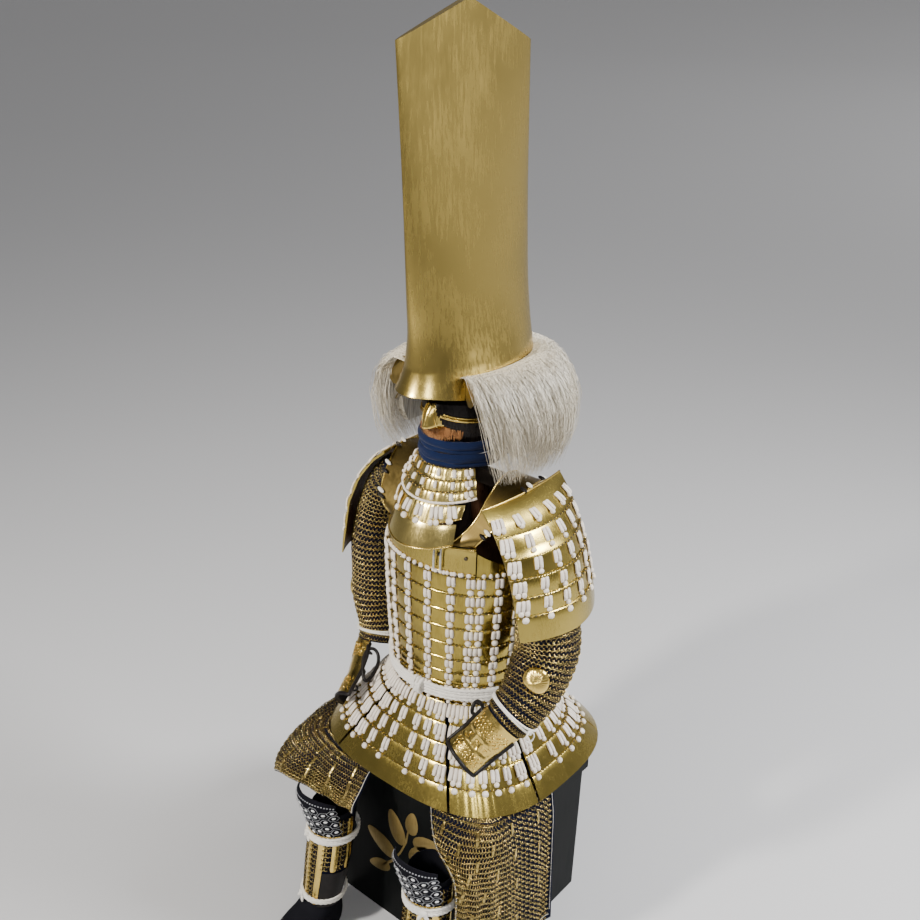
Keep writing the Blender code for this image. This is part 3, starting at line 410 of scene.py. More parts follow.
# Leg and foot rings: height, half width, half depth, centre y, outward x
LEG = (
    (0.325, 0.0485, 0.0485, -0.258, 0.000),
    (0.270, 0.0470, 0.0470, -0.260, 0.001),
    (0.200, 0.0480, 0.0480, -0.268, 0.003),
    (0.130, 0.0430, 0.0430, -0.282, 0.005),
    (0.085, 0.0400, 0.0400, -0.292, 0.008),
    (0.065, 0.0410, 0.0620, -0.308, 0.009),
    (0.048, 0.0440, 0.0920, -0.332, 0.010),
    (0.020, 0.0460, 0.1100, -0.346, 0.010),
    (0.000, 0.0430, 0.1060, -0.346, 0.010),
)


def blend(low, high, share):
    """The value at a share of the way from low to high."""
    return low + (high - low) * share


def spread(start, end, count):
    """Evenly spaced values, both ends included."""
    return [blend(start, end, i / (count - 1)) for i in range(count)]


def oval(half_x, half_y, centre_y, height, angle, power=2.0, centre_x=0.0):
    """Point of an oval ring. Angle 0 is the front, 90 degrees the left side."""
    s = math.sin(math.radians(angle))
    c = math.cos(math.radians(angle))
    x = math.copysign(abs(s) ** (2.0 / power), s) * half_x
    y = math.copysign(abs(c) ** (2.0 / power), c) * half_y
    return Vector((centre_x + x, centre_y - y, height))


def from_table(table, height):
    """Interpolate a table's rows, whose first column falls, at one height."""
    rows = sorted(table)
    height = min(max(height, rows[0][0]), rows[-1][0])
    for lower, upper in zip(rows, rows[1:]):
        if height <= upper[0]:
            share = (height - lower[0]) / (upper[0] - lower[0])
            return [blend(a, b, share) for a, b in zip(lower[1:], upper[1:])]
    return list(rows[-1][1:])


def smooth_row(points, count):
    """Spread count points along a smooth curve through a few control points."""
    result = []
    last = len(points) - 1
    for step in range(count):
        place = last * step / (count - 1)
        index = min(int(place), last - 1)
        share = place - index
        before = points[max(index - 1, 0)]
        start = points[index]
        end = points[index + 1]
        after = points[min(index + 2, last)]
        result.append(
            0.5 * ((2.0 * start)
                   + (end - before) * share
                   + (2.0 * before - 5.0 * start + 4.0 * end - after) * share ** 2
                   + (3.0 * start - 3.0 * end + after - before) * share ** 3))
    return result


def smooth_grid(rows, row_count, column_count):
    """Turn a small grid of control points into a smooth, finer one."""
    wide = [smooth_row(row, column_count) for row in rows]
    columns = [smooth_row([row[j] for row in wide], row_count) for j in range(column_count)]
    return [[column[i] for column in columns] for i in range(row_count)]


def cells_of(grid):
    """A grid of vectors as an array of rows, columns and coordinates."""
    return np.array([[tuple(p) for p in row] for row in grid])


def moved(grid, distance, closed=False):
    """A grid moved out along its normals by one distance, or by one for each point."""
    rows = cells_of(grid)
    down = np.gradient(rows, axis=0)
    across = np.roll(rows, -1, 1) - np.roll(rows, 1, 1) if closed else np.gradient(rows, axis=1)
    normals = np.cross(down, across)
    normals /= np.maximum(np.linalg.norm(normals, axis=2, keepdims=True), 1e-12)
    reach = np.array(distance, dtype=float)
    rows = rows + normals * (reach[..., None] if reach.ndim else reach)
    return [[Vector(p) for p in row] for row in rows]


def wall_mesh(outer, inner, closed=False, capped=""):
    """Points, faces and finish numbers of a wall: 0 outside and on edges, 1 inside."""
    height = len(outer)
    width = len(outer[0])
    size = height * width
    columns = width if closed else width - 1
    faces = []
    finish = []
    for i in range(height - 1):
        for j in range(columns):
            a = i * width + j
            b = i * width + (j + 1) % width
            faces.append((a, a + width, b + width, b))
            faces.append((size + a, size + b, size + b + width, size + a + width))
            finish.extend((0, 1))
    for end, row in (("top", 0), ("bottom", height - 1)):
        if capped == end:
            for shift in (0, size):
                for j in range(width // 2):
                    corners = [row * width + k % width + shift
                               for k in (j, j + 1, width - j - 1, width - j)]
                    faces.append(tuple(dict.fromkeys(corners)))
                    finish.append(1 if shift else 0)
            continue
        for j in range(columns):
            a = row * width + j
            b = row * width + (j + 1) % width
            faces.append((a, b, size + b, size + a))
            finish.append(0)
    if not closed:
        for i in range(height - 1):
            for j in (0, width - 1):
                a = i * width + j
                faces.append((a, a + width, size + a + width, size + a))
                finish.append(0)
    return [p for row in outer for p in row] + [p for row in inner for p in row], faces, finish


def add_wall(name, outer, thickness, materials, slot, replaced=(), closed=False, capped="",
             inner=None):
    """A wall piece behind a fine grid: first material outside, last one inside."""
    inner = inner or moved(outer, -thickness, closed)
    points, faces, finish = wall_mesh(outer, inner, closed, capped)
    if len(materials) == 1:
        finish = None
    return add_piece(name, points, faces, materials, slot, replaced, finish)


weave_group, weave_in, weave_out = new_group(
    "woven_threads",
    (("Base", "NodeSocketColor", (0.1, 0.1, 0.1, 1)), ("Thread", "NodeSocketColor", (0.2, 0.2, 0.2, 1)),
     ("Threads", "NodeSocketFloat", 240.0), ("Unevenness", "NodeSocketFloat", 0.5)),
    (("Color", "NodeSocketColor"), ("Height", "NodeSocketFloat")))


def fill_weave_group():
    """Warp and weft as crossed bands, with cloudy unevenness over them."""
    links = weave_group.links
    spot = node_of(weave_group, "ShaderNodeTexCoord")
    warp = node_of(weave_group, "ShaderNodeTexWave", bands_direction="DIAGONAL", Distortion=0.4)
    weft = node_of(weave_group, "ShaderNodeTexWave", bands_direction="Z", Distortion=0.4)
    cloud = node_of(weave_group, "ShaderNodeTexNoise", Scale=30.0, Detail=4.0)
    for wave in (warp, weft):
        links.new(spot.outputs["Object"], wave.inputs["Vector"])
        links.new(weave_in.outputs["Threads"], wave.inputs["Scale"])
    links.new(spot.outputs["Object"], cloud.inputs["Vector"])
    crossed = node_of(weave_group, "ShaderNodeMath", operation="MULTIPLY")
    links.new(warp.outputs["Fac"], crossed.inputs[0])
    links.new(weft.outputs["Fac"], crossed.inputs[1])
    uneven = node_of(weave_group, "ShaderNodeMath", operation="MULTIPLY")
    links.new(cloud.outputs["Fac"], uneven.inputs[0])
    links.new(weave_in.outputs["Unevenness"], uneven.inputs[1])
    both = node_of(weave_group, "ShaderNodeMath", operation="ADD", use_clamp=True)
    links.new(crossed.outputs[0], both.inputs[0])
    links.new(uneven.outputs[0], both.inputs[1])
    tone = node_of(weave_group, "ShaderNodeMix", data_type="RGBA")
    links.new(both.outputs[0], tone.inputs[0])
    links.new(weave_in.outputs["Base"], tone.inputs[6])
    links.new(weave_in.outputs["Thread"], tone.inputs[7])
    links.new(tone.outputs[2], weave_out.inputs["Color"])
    links.new(crossed.outputs[0], weave_out.inputs["Height"])


fill_weave_group()


def woven_finish(name, base, thread, threads=240.0, uneven=0.5, rough=0.85, bump=0.4, sheen=0.08,
                 gloss=0.4):
    """Cloth or braid: one shader fed by the weave group."""
    material, shader = new_material(name)
    links = material.node_tree.links
    effect = place_group(material, weave_group, Base=(*base, 1.0), Thread=(*thread, 1.0),
                         Threads=threads, Unevenness=uneven)
    relief = node_of(material.node_tree, "ShaderNodeBump", Strength=bump, Distance=0.0005)
    links.new(effect.outputs["Color"], shader.inputs["Base Color"])
    links.new(effect.outputs["Height"], relief.inputs["Height"])
    links.new(relief.outputs["Normal"], shader.inputs["Normal"])
    shader.inputs["Roughness"].default_value = rough
    shader.inputs["Sheen Weight"].default_value = sheen
    shader.inputs["Specular IOR Level"].default_value = gloss
    return material


black_cotton = woven_finish("black_cotton", (0.004, 0.004, 0.006), (0.013, 0.013, 0.017), sheen=0.0,
                            gloss=0.06)
fine_leg = [tuple(row) for row in smooth_row([Vector(row) for row in LEG], 33)]


def leg_point(side, height, angle, out=0.0):
    """Point of a leg at a height and an angle, moved out by a distance."""
    half, deep, centre, lean = from_table(fine_leg, height)
    return oval(half + out, deep + out, centre, height, angle, centre_x=side * (LEG_X + lean))


for word, side in SIDES:
    stocking = []
    for height in [row[0] for row in fine_leg]:
        line = []
        for j in range(36):
            place = leg_point(side, height, 10.0 * j)
            crease = noise.noise(Vector((place.x * 20, place.y * 20, place.z * 60)))
            line.append(leg_point(side, height, 10.0 * j, 0.0011 * crease - 0.0006))
        stocking.append(line)
    leg_cloth = add_wall("stocking_" + word, stocking, CLOTH, [black_cotton], "black_cloth",
                         ["legging_" + word], closed=True, capped="bottom")


# Shin guards
# Six long gilt iron splints on each shin, joined by mail and sewn on dark cloth. A
# patch of black leather saves the inner side from the stirrup.
SHIN_HEIGHTS = (0.312, 0.092)
SPLINTS = (-90.0, -54.0, -18.0, 18.0, 54.0, 90.0)
SPLINT_HALF = 8.4
PATCH_TOP = 0.178
PATCH_START = 29.0
SHIN_STRIP = 0.0014


def lofted_template(rings):
    """Points and quads of a short solid through rings with an even count of corners."""
    width = len(rings[0])
    points = np.array([p for ring in rings for p in ring], dtype=float)
    quads = []
    for i in range(len(rings) - 1):
        for j in range(width):
            a = i * width + j
            b = i * width + (j + 1) % width
            quads.append((a, b, b + width, a + width))
    for start, turned in ((0, True), (len(points) - width, False)):
        for j in range(width // 2 - 1):
            quad = (start + j, start + j + 1, start + width - 2 - j, start + width - 1 - j)
            quads.append(quad[::-1] if turned else quad)
    return points, np.array(quads)


def ring_template(radius, wire, corners=6, sides=3):
    """A ring of wire that lies flat, its hole facing out."""
    points = []
    quads = []
    for i in range(corners):
        turn = 2 * math.pi * i / corners
        for j in range(sides):
            roll = 2 * math.pi * j / sides
            reach = radius + wire * math.cos(roll)
            points.append((reach * math.cos(turn), reach * math.sin(turn), wire * math.sin(roll)))
            a = i * sides + j
            b = i * sides + (j + 1) % sides
            c = (i + 1) % corners * sides + j
            d = (i + 1) % corners * sides + (j + 1) % sides
            quads.append((a, c, d, b))
    return np.array(points), np.array(quads)


def ball_template(half_x, half_y, half_z, cuts=1):
    """A rounded lump of quads."""
    body = bmesh.new()
    bmesh.ops.create_cube(body, size=2.0)
    if cuts:
        bmesh.ops.subdivide_edges(body, edges=body.edges[:], cuts=cuts, use_grid_fill=True)
    body.verts.index_update()
    points = np.array([tuple(v.co.normalized()) for v in body.verts]) * (half_x, half_y, half_z)
    quads = np.array([[v.index for v in face.verts] for face in body.faces])
    body.free()
    return points, quads


def frames_on(grid, rows, columns, shift=(0.0, 0.0, 0.0), turn=0.0, tilt=0.0, scale=(1.0, 1.0, 1.0),
              closed=False):
    """Frames at float rows and columns of a grid: X across, Y up, Z outward.

    Turn is about Z and tilt about X, in degrees. Shift is in the frame's own axes.
    """
    cells = cells_of(grid)
    if closed:
        cells = np.concatenate([cells, cells[:, :1]], axis=1)
        columns = np.mod(columns, cells.shape[1] - 1)
    rows, columns = np.broadcast_arrays(np.asarray(rows, float), np.asarray(columns, float))
    rows = np.clip(rows.ravel(), 0, cells.shape[0] - 1.001)
    columns = np.clip(columns.ravel(), 0, cells.shape[1] - 1.001)
    i = rows.astype(int)
    j = columns.astype(int)
    a = (rows - i)[:, None]
    b = (columns - j)[:, None]
    near, right, under, corner = cells[i, j], cells[i, j + 1], cells[i + 1, j], cells[i + 1, j + 1]
    place = (near * (1 - b) + right * b) * (1 - a) + (under * (1 - b) + corner * b) * a
    across = (right - near) * (1 - a) + (corner - under) * a
    down = (under - near) * (1 - b) + (corner - right) * b
    across /= np.linalg.norm(across, axis=1, keepdims=True)
    out = np.cross(down, across)
    out /= np.linalg.norm(out, axis=1, keepdims=True)
    up = np.cross(out, across)
    shift = np.broadcast_to(np.asarray(shift, float), place.shape)
    place = place + across * shift[:, :1] + up * shift[:, 1:2] + out * shift[:, 2:]
    turn = np.radians(np.broadcast_to(turn, (len(place),)))[:, None]
    tilt = np.radians(np.broadcast_to(tilt, (len(place),)))[:, None]
    x = across * np.cos(turn) + up * np.sin(turn)
    y = up * np.cos(turn) - across * np.sin(turn)
    z = out * np.cos(tilt) - y * np.sin(tilt)
    y = y * np.cos(tilt) + out * np.sin(tilt)
    scale = np.broadcast_to(np.asarray(scale, float), place.shape)
    frames = np.zeros((len(place), 4, 4))
    frames[:, :3, 0] = x * scale[:, :1]
    frames[:, :3, 1] = y * scale[:, 1:2]
    frames[:, :3, 2] = z * scale[:, 2:]
    frames[:, :3, 3] = place
    frames[:, 3, 3] = 1.0
    return frames


def stamped(template, frames, finish=0):
    """Copies of a template at many frames, as one shape."""
    points, quads = template
    placed = np.einsum("nij,mj->nmi", frames[:, :3, :3], points) + frames[:, None, :3, 3]
    shift = np.arange(len(frames))[:, None, None] * len(points)
    return placed.reshape(-1, 3), (quads[None] + shift).reshape(-1, 4), finish


def add_shapes(name, shapes, materials, replaced=(), sharp=0.0):
    """One piece from many shapes of quads, each with its finish number."""
    starts = np.cumsum([0] + [len(points) for points, _, _ in shapes[:-1]])
    points = np.concatenate([points for points, _, _ in shapes])
    quads = np.concatenate([quads + start for (_, quads, _), start in zip(shapes, starts)])
    finish = np.concatenate([np.full(len(quads), index) for _, quads, index in shapes])
    mesh = bpy.data.meshes.new(name)
    mesh.vertices.add(len(points))
    mesh.vertices.foreach_set("co", points.ravel())
    mesh.loops.add(quads.size)
    mesh.loops.foreach_set("vertex_index", quads.ravel().astype(np.int32))
    mesh.polygons.add(len(quads))
    mesh.polygons.foreach_set("loop_start", np.arange(0, quads.size, 4, dtype=np.int32))
    for material in materials:
        mesh.materials.append(material)
    mesh.polygons.foreach_set("material_index", finish.astype(np.int32))
    mesh.update(calc_edges=True)
    mesh.shade_smooth()
    if sharp:
        mesh.set_sharp_from_angle(angle=math.radians(sharp))
    return set_down(name, mesh, replaced)


def mail_frames(grid, pitch, first, last, closed=False, edge=0.0):
    """Frames of linked rings over a grid from row share first to last."""
    cells = cells_of(grid)
    if closed:
        cells = np.concatenate([cells, cells[:, :1]], axis=1)
    lengths = np.linalg.norm(np.diff(cells, axis=0), axis=2).mean(axis=1)
    widths = np.linalg.norm(np.diff(cells, axis=1), axis=2).sum(axis=1)
    run = np.concatenate([[0.0], np.cumsum(lengths)])
    low, high = np.interp([first, last], np.linspace(0, 1, len(run)), run)
    rows = np.interp(np.arange(low, high, pitch * 0.86), run, np.arange(len(run)))
    width = cells.shape[1] - 1
    middle = widths[int(rows[0]):].mean() * (1 - 2 * edge)
    count = int(middle / pitch)
    everything = []
    for k, row in enumerate(rows):
        columns = width * (edge + (1 - 2 * edge) * (np.arange(count) + 0.5 * (k % 2)) / count)
        stretch = np.interp(row, np.arange(len(widths)), widths) * (1 - 2 * edge) / count / pitch
        side = 1 if k % 2 else -1
        everything.append(frames_on(grid, row, columns, shift=(0, 0, 0.0007), turn=24 * side,
                                    tilt=34.0 * side, scale=(stretch, 1.0, 1.0), closed=closed))
    return np.concatenate(everything)


def strip_shape(grid, thickness, finish=0):
    """A thin plate or band behind a grid, as one shape."""
    points, faces, _ = wall_mesh(grid, moved(grid, -thickness))
    return np.array([tuple(p) for p in points]), np.array(faces), finish


MAIL_RING = ring_template(0.0037, 0.00098)
MAIL_PITCH = 0.0078
splint_gold = worn_finish("splint_gold", (0.78, 0.57, 0.16), (0.46, 0.32, 0.08), 0.16, 0.34,
                          metal=1.0, wear=0.5, patch=30.0, fine=380.0, bump=0.12)
mail_gold = worn_finish("mail_gold", (0.41, 0.31, 0.105), (0.17, 0.12, 0.040), 0.18, 0.34,
                        metal=1.0, wear=0.9, patch=60.0, fine=500.0, bump=0.05)
black_leather = worn_finish("black_leather", (0.007, 0.006, 0.006), (0.018, 0.015, 0.014), 0.30,
                            0.50, wear=0.7, patch=50.0, fine=700.0, bump=0.35, gloss=0.18)
navy_cloth = woven_finish("navy_cloth", (0.002, 0.003, 0.008), (0.006, 0.008, 0.022), sheen=0.0,
                          gloss=0.06)
for word, side in SIDES:
    ground = [[leg_point(side, z, a, 0.0024) for a in spread(-98.5, 98.5, 49)]
              for z in spread(*SHIN_HEIGHTS, 15)]
    shin_cloth = add_wall("shin_cloth_" + word, ground, 0.0012, [navy_cloth], "mail_cloth",
                          ["shin_guard_" + word])
    shapes = []
    for splint in SPLINTS:
        low = PATCH_TOP + 0.004 if -splint * side > PATCH_START else SHIN_HEIGHTS[1]
        grid = []
        for k, z in enumerate(spread(SHIN_HEIGHTS[0], low, 17)):
            end = 0.72 if k in (0, 16) else 1.0
            grid.append([leg_point(side, z, splint + SPLINT_HALF * t * end,
                                   0.0030 + 0.0019 * math.cos(1.2 * t)) for t in spread(-1, 1, 7)])
        shapes.append(strip_shape(grid, SHIN_STRIP))
    for splint in SPLINTS[:-1]:
        middle = splint + 18.0
        low = PATCH_TOP + 0.004 if -middle * side > PATCH_START else SHIN_HEIGHTS[1]
        strip = [[leg_point(side, z, middle + t, 0.0030) for t in (-9.2, 0.0, 9.2)]
                 for z in spread(SHIN_HEIGHTS[0], low, 15)]
        shapes.append(stamped(MAIL_RING, mail_frames(strip, MAIL_PITCH * 0.9, 0.02, 0.98), 1))
    add_shapes("shin_splints_" + word, shapes, [splint_gold, mail_gold], sharp=50)
    patch = [[leg_point(side, z, -side * a, 0.0056 + 0.0006 * math.sin(a / 9))
              for a in (spread(PATCH_START, 99, 21) if side < 0 else spread(99, PATCH_START, 21))]
             for z in spread(PATCH_TOP, SHIN_HEIGHTS[1] - 0.004, 9)]
    add_wall("leather_patch_" + word, patch, SHIN_STRIP, [black_leather], "black_cloth")


# Knee pads
# Quilted pads of black cloth, covered in small silver-edged hexagons with a white dot
# in each, with a plain flap above and a gilt beaded edge below.
PAD_REACH = 62.0
PAD_ROWS = ((0.392, 0.014, 0.018), (0.365, 0.0145, 0.018), (0.320, 0.012, 0.007), (0.275, 0.0076, 0.0))
PAD_WALL = 0.0025
pad_cloth = woven_finish("pad_cloth", (0.003, 0.003, 0.005), (0.010, 0.010, 0.014), threads=180.0,
                         sheen=0.0, gloss=0.06)
silver_thread = worn_finish("silver_thread", (0.40, 0.41, 0.43), (0.18, 0.19, 0.21), 0.35, 0.55,
                            metal=0.3, wear=0.6, patch=90.0)
white_dot = woven_finish("white_dot", (0.62, 0.62, 0.64), (0.90, 0.90, 0.90), threads=400.0)
HEXAGON = ring_template(0.0104, 0.0005, 6, 3)
PAD_DOT = ball_template(0.0039, 0.0036, 0.0013)
EDGE_BEAD = ball_template(0.0026, 0.0016, 0.0014, 0)
pad_table = [tuple(row) for row in smooth_row([Vector(row) for row in PAD_ROWS], 21)]
for word, side in SIDES:
    pad = []
    for height, reach, lean in pad_table:
        row = []
        for a in spread(-PAD_REACH, PAD_REACH, 41):
            half, deep, centre, shift = from_table(LEG, min(height, LEG_TOP))
            share = max(0.0, (height - 0.350) / 0.042)
            drop = 0.016 * share * (a / PAD_REACH) ** 2
            row.append(oval(half + reach, deep + reach, centre - lean, height - drop, a,
                            centre_x=side * (LEG_X + shift)))
        pad.append(row)
    puff = [[0.0011 * math.sin(math.pi * i / 20) * (1 + 0.5 * math.sin(j * 1.3) * math.sin(i * 1.7))
             for j in range(41)] for i in range(21)]
    pad = moved(pad, puff)
    pad_piece = add_wall("knee_cover_" + word, pad, PAD_WALL, [pad_cloth], "black_cloth",
                         ["knee_pad_" + word])
    places = np.array([(7.0 + 3.25 * k + 1.62 * (m % 2), 2.6 + m * 5.8)
                       for m in range(7) for k in range(5)])
    rows, columns = places[places[:, 0] < 18.8].T
    spots = frames_on(pad, rows, columns, shift=(0, 0, 0.0004), scale=(1.17, 1.0, 1.0))
    edge_top = frames_on(pad, 3.2 + 0.35 * np.cos(np.arange(44) * math.pi), np.linspace(0.6, 39.4, 44),
                         shift=(0, 0, 0.0006))
    edge_low = frames_on(pad, 19.6, np.linspace(0.5, 39.5, 40), shift=(0, 0, 0.0008),
                         turn=25.0, scale=(1.0, 1.5, 1.2))
    add_shapes("knee_hexagons_" + word,
               [stamped(HEXAGON, spots), stamped(PAD_DOT, spots, 1),
                stamped(EDGE_BEAD, edge_top[::2]),
                stamped(EDGE_BEAD, edge_low, 2)],
               [silver_thread, white_dot, splint_gold])


# Knee and ankle ties
# Soft white cords wound three times round the leg and knotted in front to hold the
# knee pad, the shin guard and the sock.
def rope(path, outs, radius, pitch=0.009, closed=True, depth=0.20, sides=8, finish=0):
    """A two-strand twisted cord along a path."""
    count = len(path)
    spots = np.array([tuple(p) for p in path])
    outs = np.array([tuple(p) for p in outs])
    if closed:
        along = np.roll(spots, -1, 0) - np.roll(spots, 1, 0)
    else:
        along = np.gradient(spots, axis=0)
    along /= np.linalg.norm(along, axis=1, keepdims=True)
    run = np.concatenate([[0.0], np.cumsum(np.linalg.norm(np.diff(spots, axis=0), axis=1))])
    total = run[-1] + (np.linalg.norm(spots[0] - spots[-1]) if closed else 0.0)
    turns = max(1, round(total / pitch)) if pitch else 0
    side = np.cross(along, outs)
    side /= np.linalg.norm(side, axis=1, keepdims=True)
    outs = np.cross(side, along)
    turn = 2 * math.pi * np.arange(sides) / sides
    twist = 2 * math.pi * turns * run / total
    reach = radius * (1 + depth * np.cos(2 * turn[None] - twist[:, None]))
    points = (spots[:, None] + side[:, None] * (reach * np.sin(turn))[..., None]
              + outs[:, None] * (reach * np.cos(turn))[..., None]).reshape(-1, 3)
    quads = []
    for i in range(count if closed else count - 1):
        for j in range(sides):
            a = i * sides + j
            b = i * sides + (j + 1) % sides
            step = (i + 1) % count * sides - i * sides
            quads.append((a, b, b + step, a + step))
    if not closed:
        for start, turned in ((0, True), ((count - 1) * sides, False)):
            for j in range(sides // 2 - 1):
                quad = (start + j, start + j + 1, start + sides - 2 - j, start + sides - 1 - j)
                quads.append(quad[::-1] if turned else quad)
    return points, np.array(quads), finish


def rod(path, outs, radius, finish=0):
    """A plain round bead or rim along an open path."""
    return rope(path, outs, radius, 0.0, closed=False, depth=0.0, finish=finish)


def path_of(frames):
    """Places and outward directions of a row of frames."""
    return [Vector(f[:3, 3]) for f in frames], [Vector(f[:3, 2]) for f in frames]


def ring_path(centre_of, count):
    """Closed path and outward directions from a function of the share round."""
    path = [centre_of(i / count) for i in range(count)]
    middle = sum(path, Vector()) / count
    return path, [(p - middle).normalized() for p in path]


white_cord = woven_finish("white_cord", (0.62, 0.58, 0.51), (0.90, 0.87, 0.80), threads=300.0,
                          uneven=0.6, rough=0.75, bump=0.5, sheen=0.3)
for word, side in SIDES:
    for tie, height, out, count in (("knee_tie_", 0.262, 0.0076, 4), ("ankle_tie_", 0.104, 0.0074, 3)):
        shapes = []
        for wind in range(count):
            level = height + (wind - (count - 1) / 2) * 0.0044

            def tie_place(share, level=level, wind=wind):
                wave = 0.0012 * math.sin(2 * math.pi * (2 * share + 0.31 * wind))
                return leg_point(side, level + wave, 360 * share, out + 0.0008 * (wind % 2))
            shapes.append(rope(*ring_path(tie_place, 190), 0.0029, 0.010))
        knot = [[leg_point(side, height + v, side * 26 + u, out + 0.004) for u in (-12, 0, 12)]
                for v in (0.016, 0.0, -0.016)]
        shapes.append(stamped(ball_template(0.0085, 0.0075, 0.0048, 2), frames_on(knot, 1.0, 1.0)))
        shapes.append(stamped(ball_template(0.0042, 0.0090, 0.0030, 2),
                              frames_on(knot, 1.0, 1.0, shift=(0.0065, -0.010, -0.001), turn=35)))
        shapes.append(stamped(ball_template(0.0040, 0.0085, 0.0030, 2),
                              frames_on(knot, 1.0, 1.0, shift=(-0.0065, -0.010, -0.001), turn=-30)))
        add_shapes(tie + "cords_" + word, shapes, [white_cord], [tie + word])


# Thigh guards
# A divided apron of dark cloth tied round the waist. Mail covers each half, with long
# narrow gilt plates set among the rings, and a dark bound hem stitched in white.
THIGH_LEFT = (
    ((0.058, -0.172, 0.466), (0.124, -0.152, 0.464), (0.168, -0.105, 0.462), (0.184, -0.018, 0.462)),
    ((0.108, -0.232, 0.440), (0.200, -0.220, 0.443), (0.243, -0.174, 0.443), (0.238, -0.010, 0.4435)),
    ((0.146, -0.258, 0.388), (0.210, -0.246, 0.385), (0.255, -0.172, 0.380), (0.254, -0.008, 0.378)),
    ((0.203, -0.268, 0.330), (0.234, -0.238, 0.315), (0.258, -0.160, 0.300), (0.256, -0.006, 0.290)),
    ((0.212, -0.274, 0.215), (0.238, -0.238, 0.205), (0.260, -0.155, 0.195), (0.258, -0.004, 0.185)),
    ((0.214, -0.280, 0.105), (0.240, -0.240, 0.095), (0.262, -0.150, 0.085), (0.260, -0.002, 0.075)),
)
THIGH_RIGHT = (
    ((-0.052, -0.172, 0.466), (-0.124, -0.152, 0.464), (-0.168, -0.105, 0.462), (-0.184, -0.018, 0.462)),
    ((-0.050, -0.232, 0.440), (-0.150, -0.236, 0.443), (-0.244, -0.186, 0.443), (-0.242, -0.012, 0.4435)),
    ((-0.050, -0.262, 0.405), (-0.146, -0.276, 0.418), (-0.268, -0.244, 0.430), (-0.304, -0.080, 0.418)),
    ((-0.060, -0.272, 0.370), (-0.144, -0.292, 0.396), (-0.268, -0.290, 0.400), (-0.312, -0.090, 0.270)),
    ((-0.062, -0.272, 0.350), (-0.142, -0.298, 0.374), (-0.264, -0.304, 0.364), (-0.308, -0.085, 0.105)),
)
BODY_Y = -0.030
BELT_HALF = 0.141 - 0.0026
BELT_DEEP = 0.113 - 0.0026
BELT_LOW = 0.6034
FOLD_DEPTH = 0.0046
HEM_LIFT = 0.0016
HEM_WALL = 0.0014
STITCH_LIFT = 0.0020


def rounded_strip(half_width, thickness, crown):
    """A strip of unit length along Y with a crowned front and rounded ends."""
    rings = []
    for y, size in ((-0.5, 0.5), (-0.46, 0.9), (-0.2, 1.0), (0.2, 1.0), (0.46, 0.9), (0.5, 0.5)):
        ring = []
        for corner in range(6):
            turn = math.radians(-60.0 * corner)
            rise = thickness * math.sin(turn) if math.sin(turn) > 0 else 0.3 * thickness * math.sin(turn)
            ring.append((half_width * size * math.cos(turn), y,
                         rise * size + crown * (1 - (2 * y) ** 2)))
        rings.append(ring)
    return lofted_template(rings)


THIGH_PLATE = rounded_strip(0.0040, 0.0012, 0.0006)
HEM_STITCH = ball_template(0.0007, 0.0022, 0.0006, 0)
paint(navy_cloth, "thigh_guard_belt")
for word, side, table in (("left", 1, THIGH_LEFT), ("right", -1, THIGH_RIGHT)):
    belt = [oval(BELT_HALF, BELT_DEEP, BODY_Y, BELT_LOW, side * blend(20.0, 88.0, share))
            for share in (0, 1 / 3, 2 / 3, 1)]
    apron = smooth_grid([belt] + [[Vector(point) for point in row] for row in table], 56, 61)
    if side < 0:
        apron = [row[::-1] for row in apron]
    folds = [[FOLD_DEPTH * max(0.0, i / 55 - 0.4) * (1 + math.cos(math.pi * j / 5))
              + 0.0012 * noise.noise(Vector((j * 0.12, i * 0.05, side * 3.0)))
              for j in range(61)] for i in range(56)]
    apron = moved(apron, folds)
    apron_cloth = add_wall("apron_cloth_" + word, apron, CLOTH, [navy_cloth, black_cotton],
                           "mail_cloth", ["thigh_guard_" + word])
    rings = mail_frames(apron, MAIL_PITCH, 0.27, 0.985, edge=0.03)
    add_shapes("apron_mail_" + word, [stamped(MAIL_RING, rings)], [mail_gold])
    places = np.array([(22 + 8.6 * k + 4.0 * (m % 2), 8 + 8.8 * m)
                       for k in range(4) for m in range(6)])
    rows, columns = places[places[:, 0] < 51].T
    plates = frames_on(apron, rows, columns, shift=(0, 0, 0.0010), scale=(1.0, 0.030, 1.0))
    hem = []
    for j, inward in ((0, 1), (60, -1)):
        reach = j + inward * np.array((0.05, 1.0, 1.9))
        band = [path_of(frames_on(apron, float(i), reach, shift=(0, 0, HEM_LIFT)))[0]
                for i in range(12, 56)]
        hem.append(strip_shape([row[::inward] for row in band], HEM_WALL, 1))
    low = [path_of(frames_on(apron, i, np.arange(61.0), shift=(0, 0, HEM_LIFT)))[0]
           for i in (52.6, 53.8, 54.95)]
    hem.append(strip_shape(low, HEM_WALL, 1))
    sew_rows = np.linspace(14, 52, 100)
    stitches = [frames_on(apron, sew_rows, c, shift=(0, 0, STITCH_LIFT)) for c in (1.3, 58.7)]
    stitches.append(frames_on(apron, 53.4, np.linspace(2, 58, 90), shift=(0, 0, STITCH_LIFT),
                              turn=90.0))
    add_shapes("apron_plates_" + word,
               [stamped(THIGH_PLATE, plates)] + hem + [stamped(HEM_STITCH, s, 2) for s in stitches],
               [mail_gold, navy_cloth, white_cord])


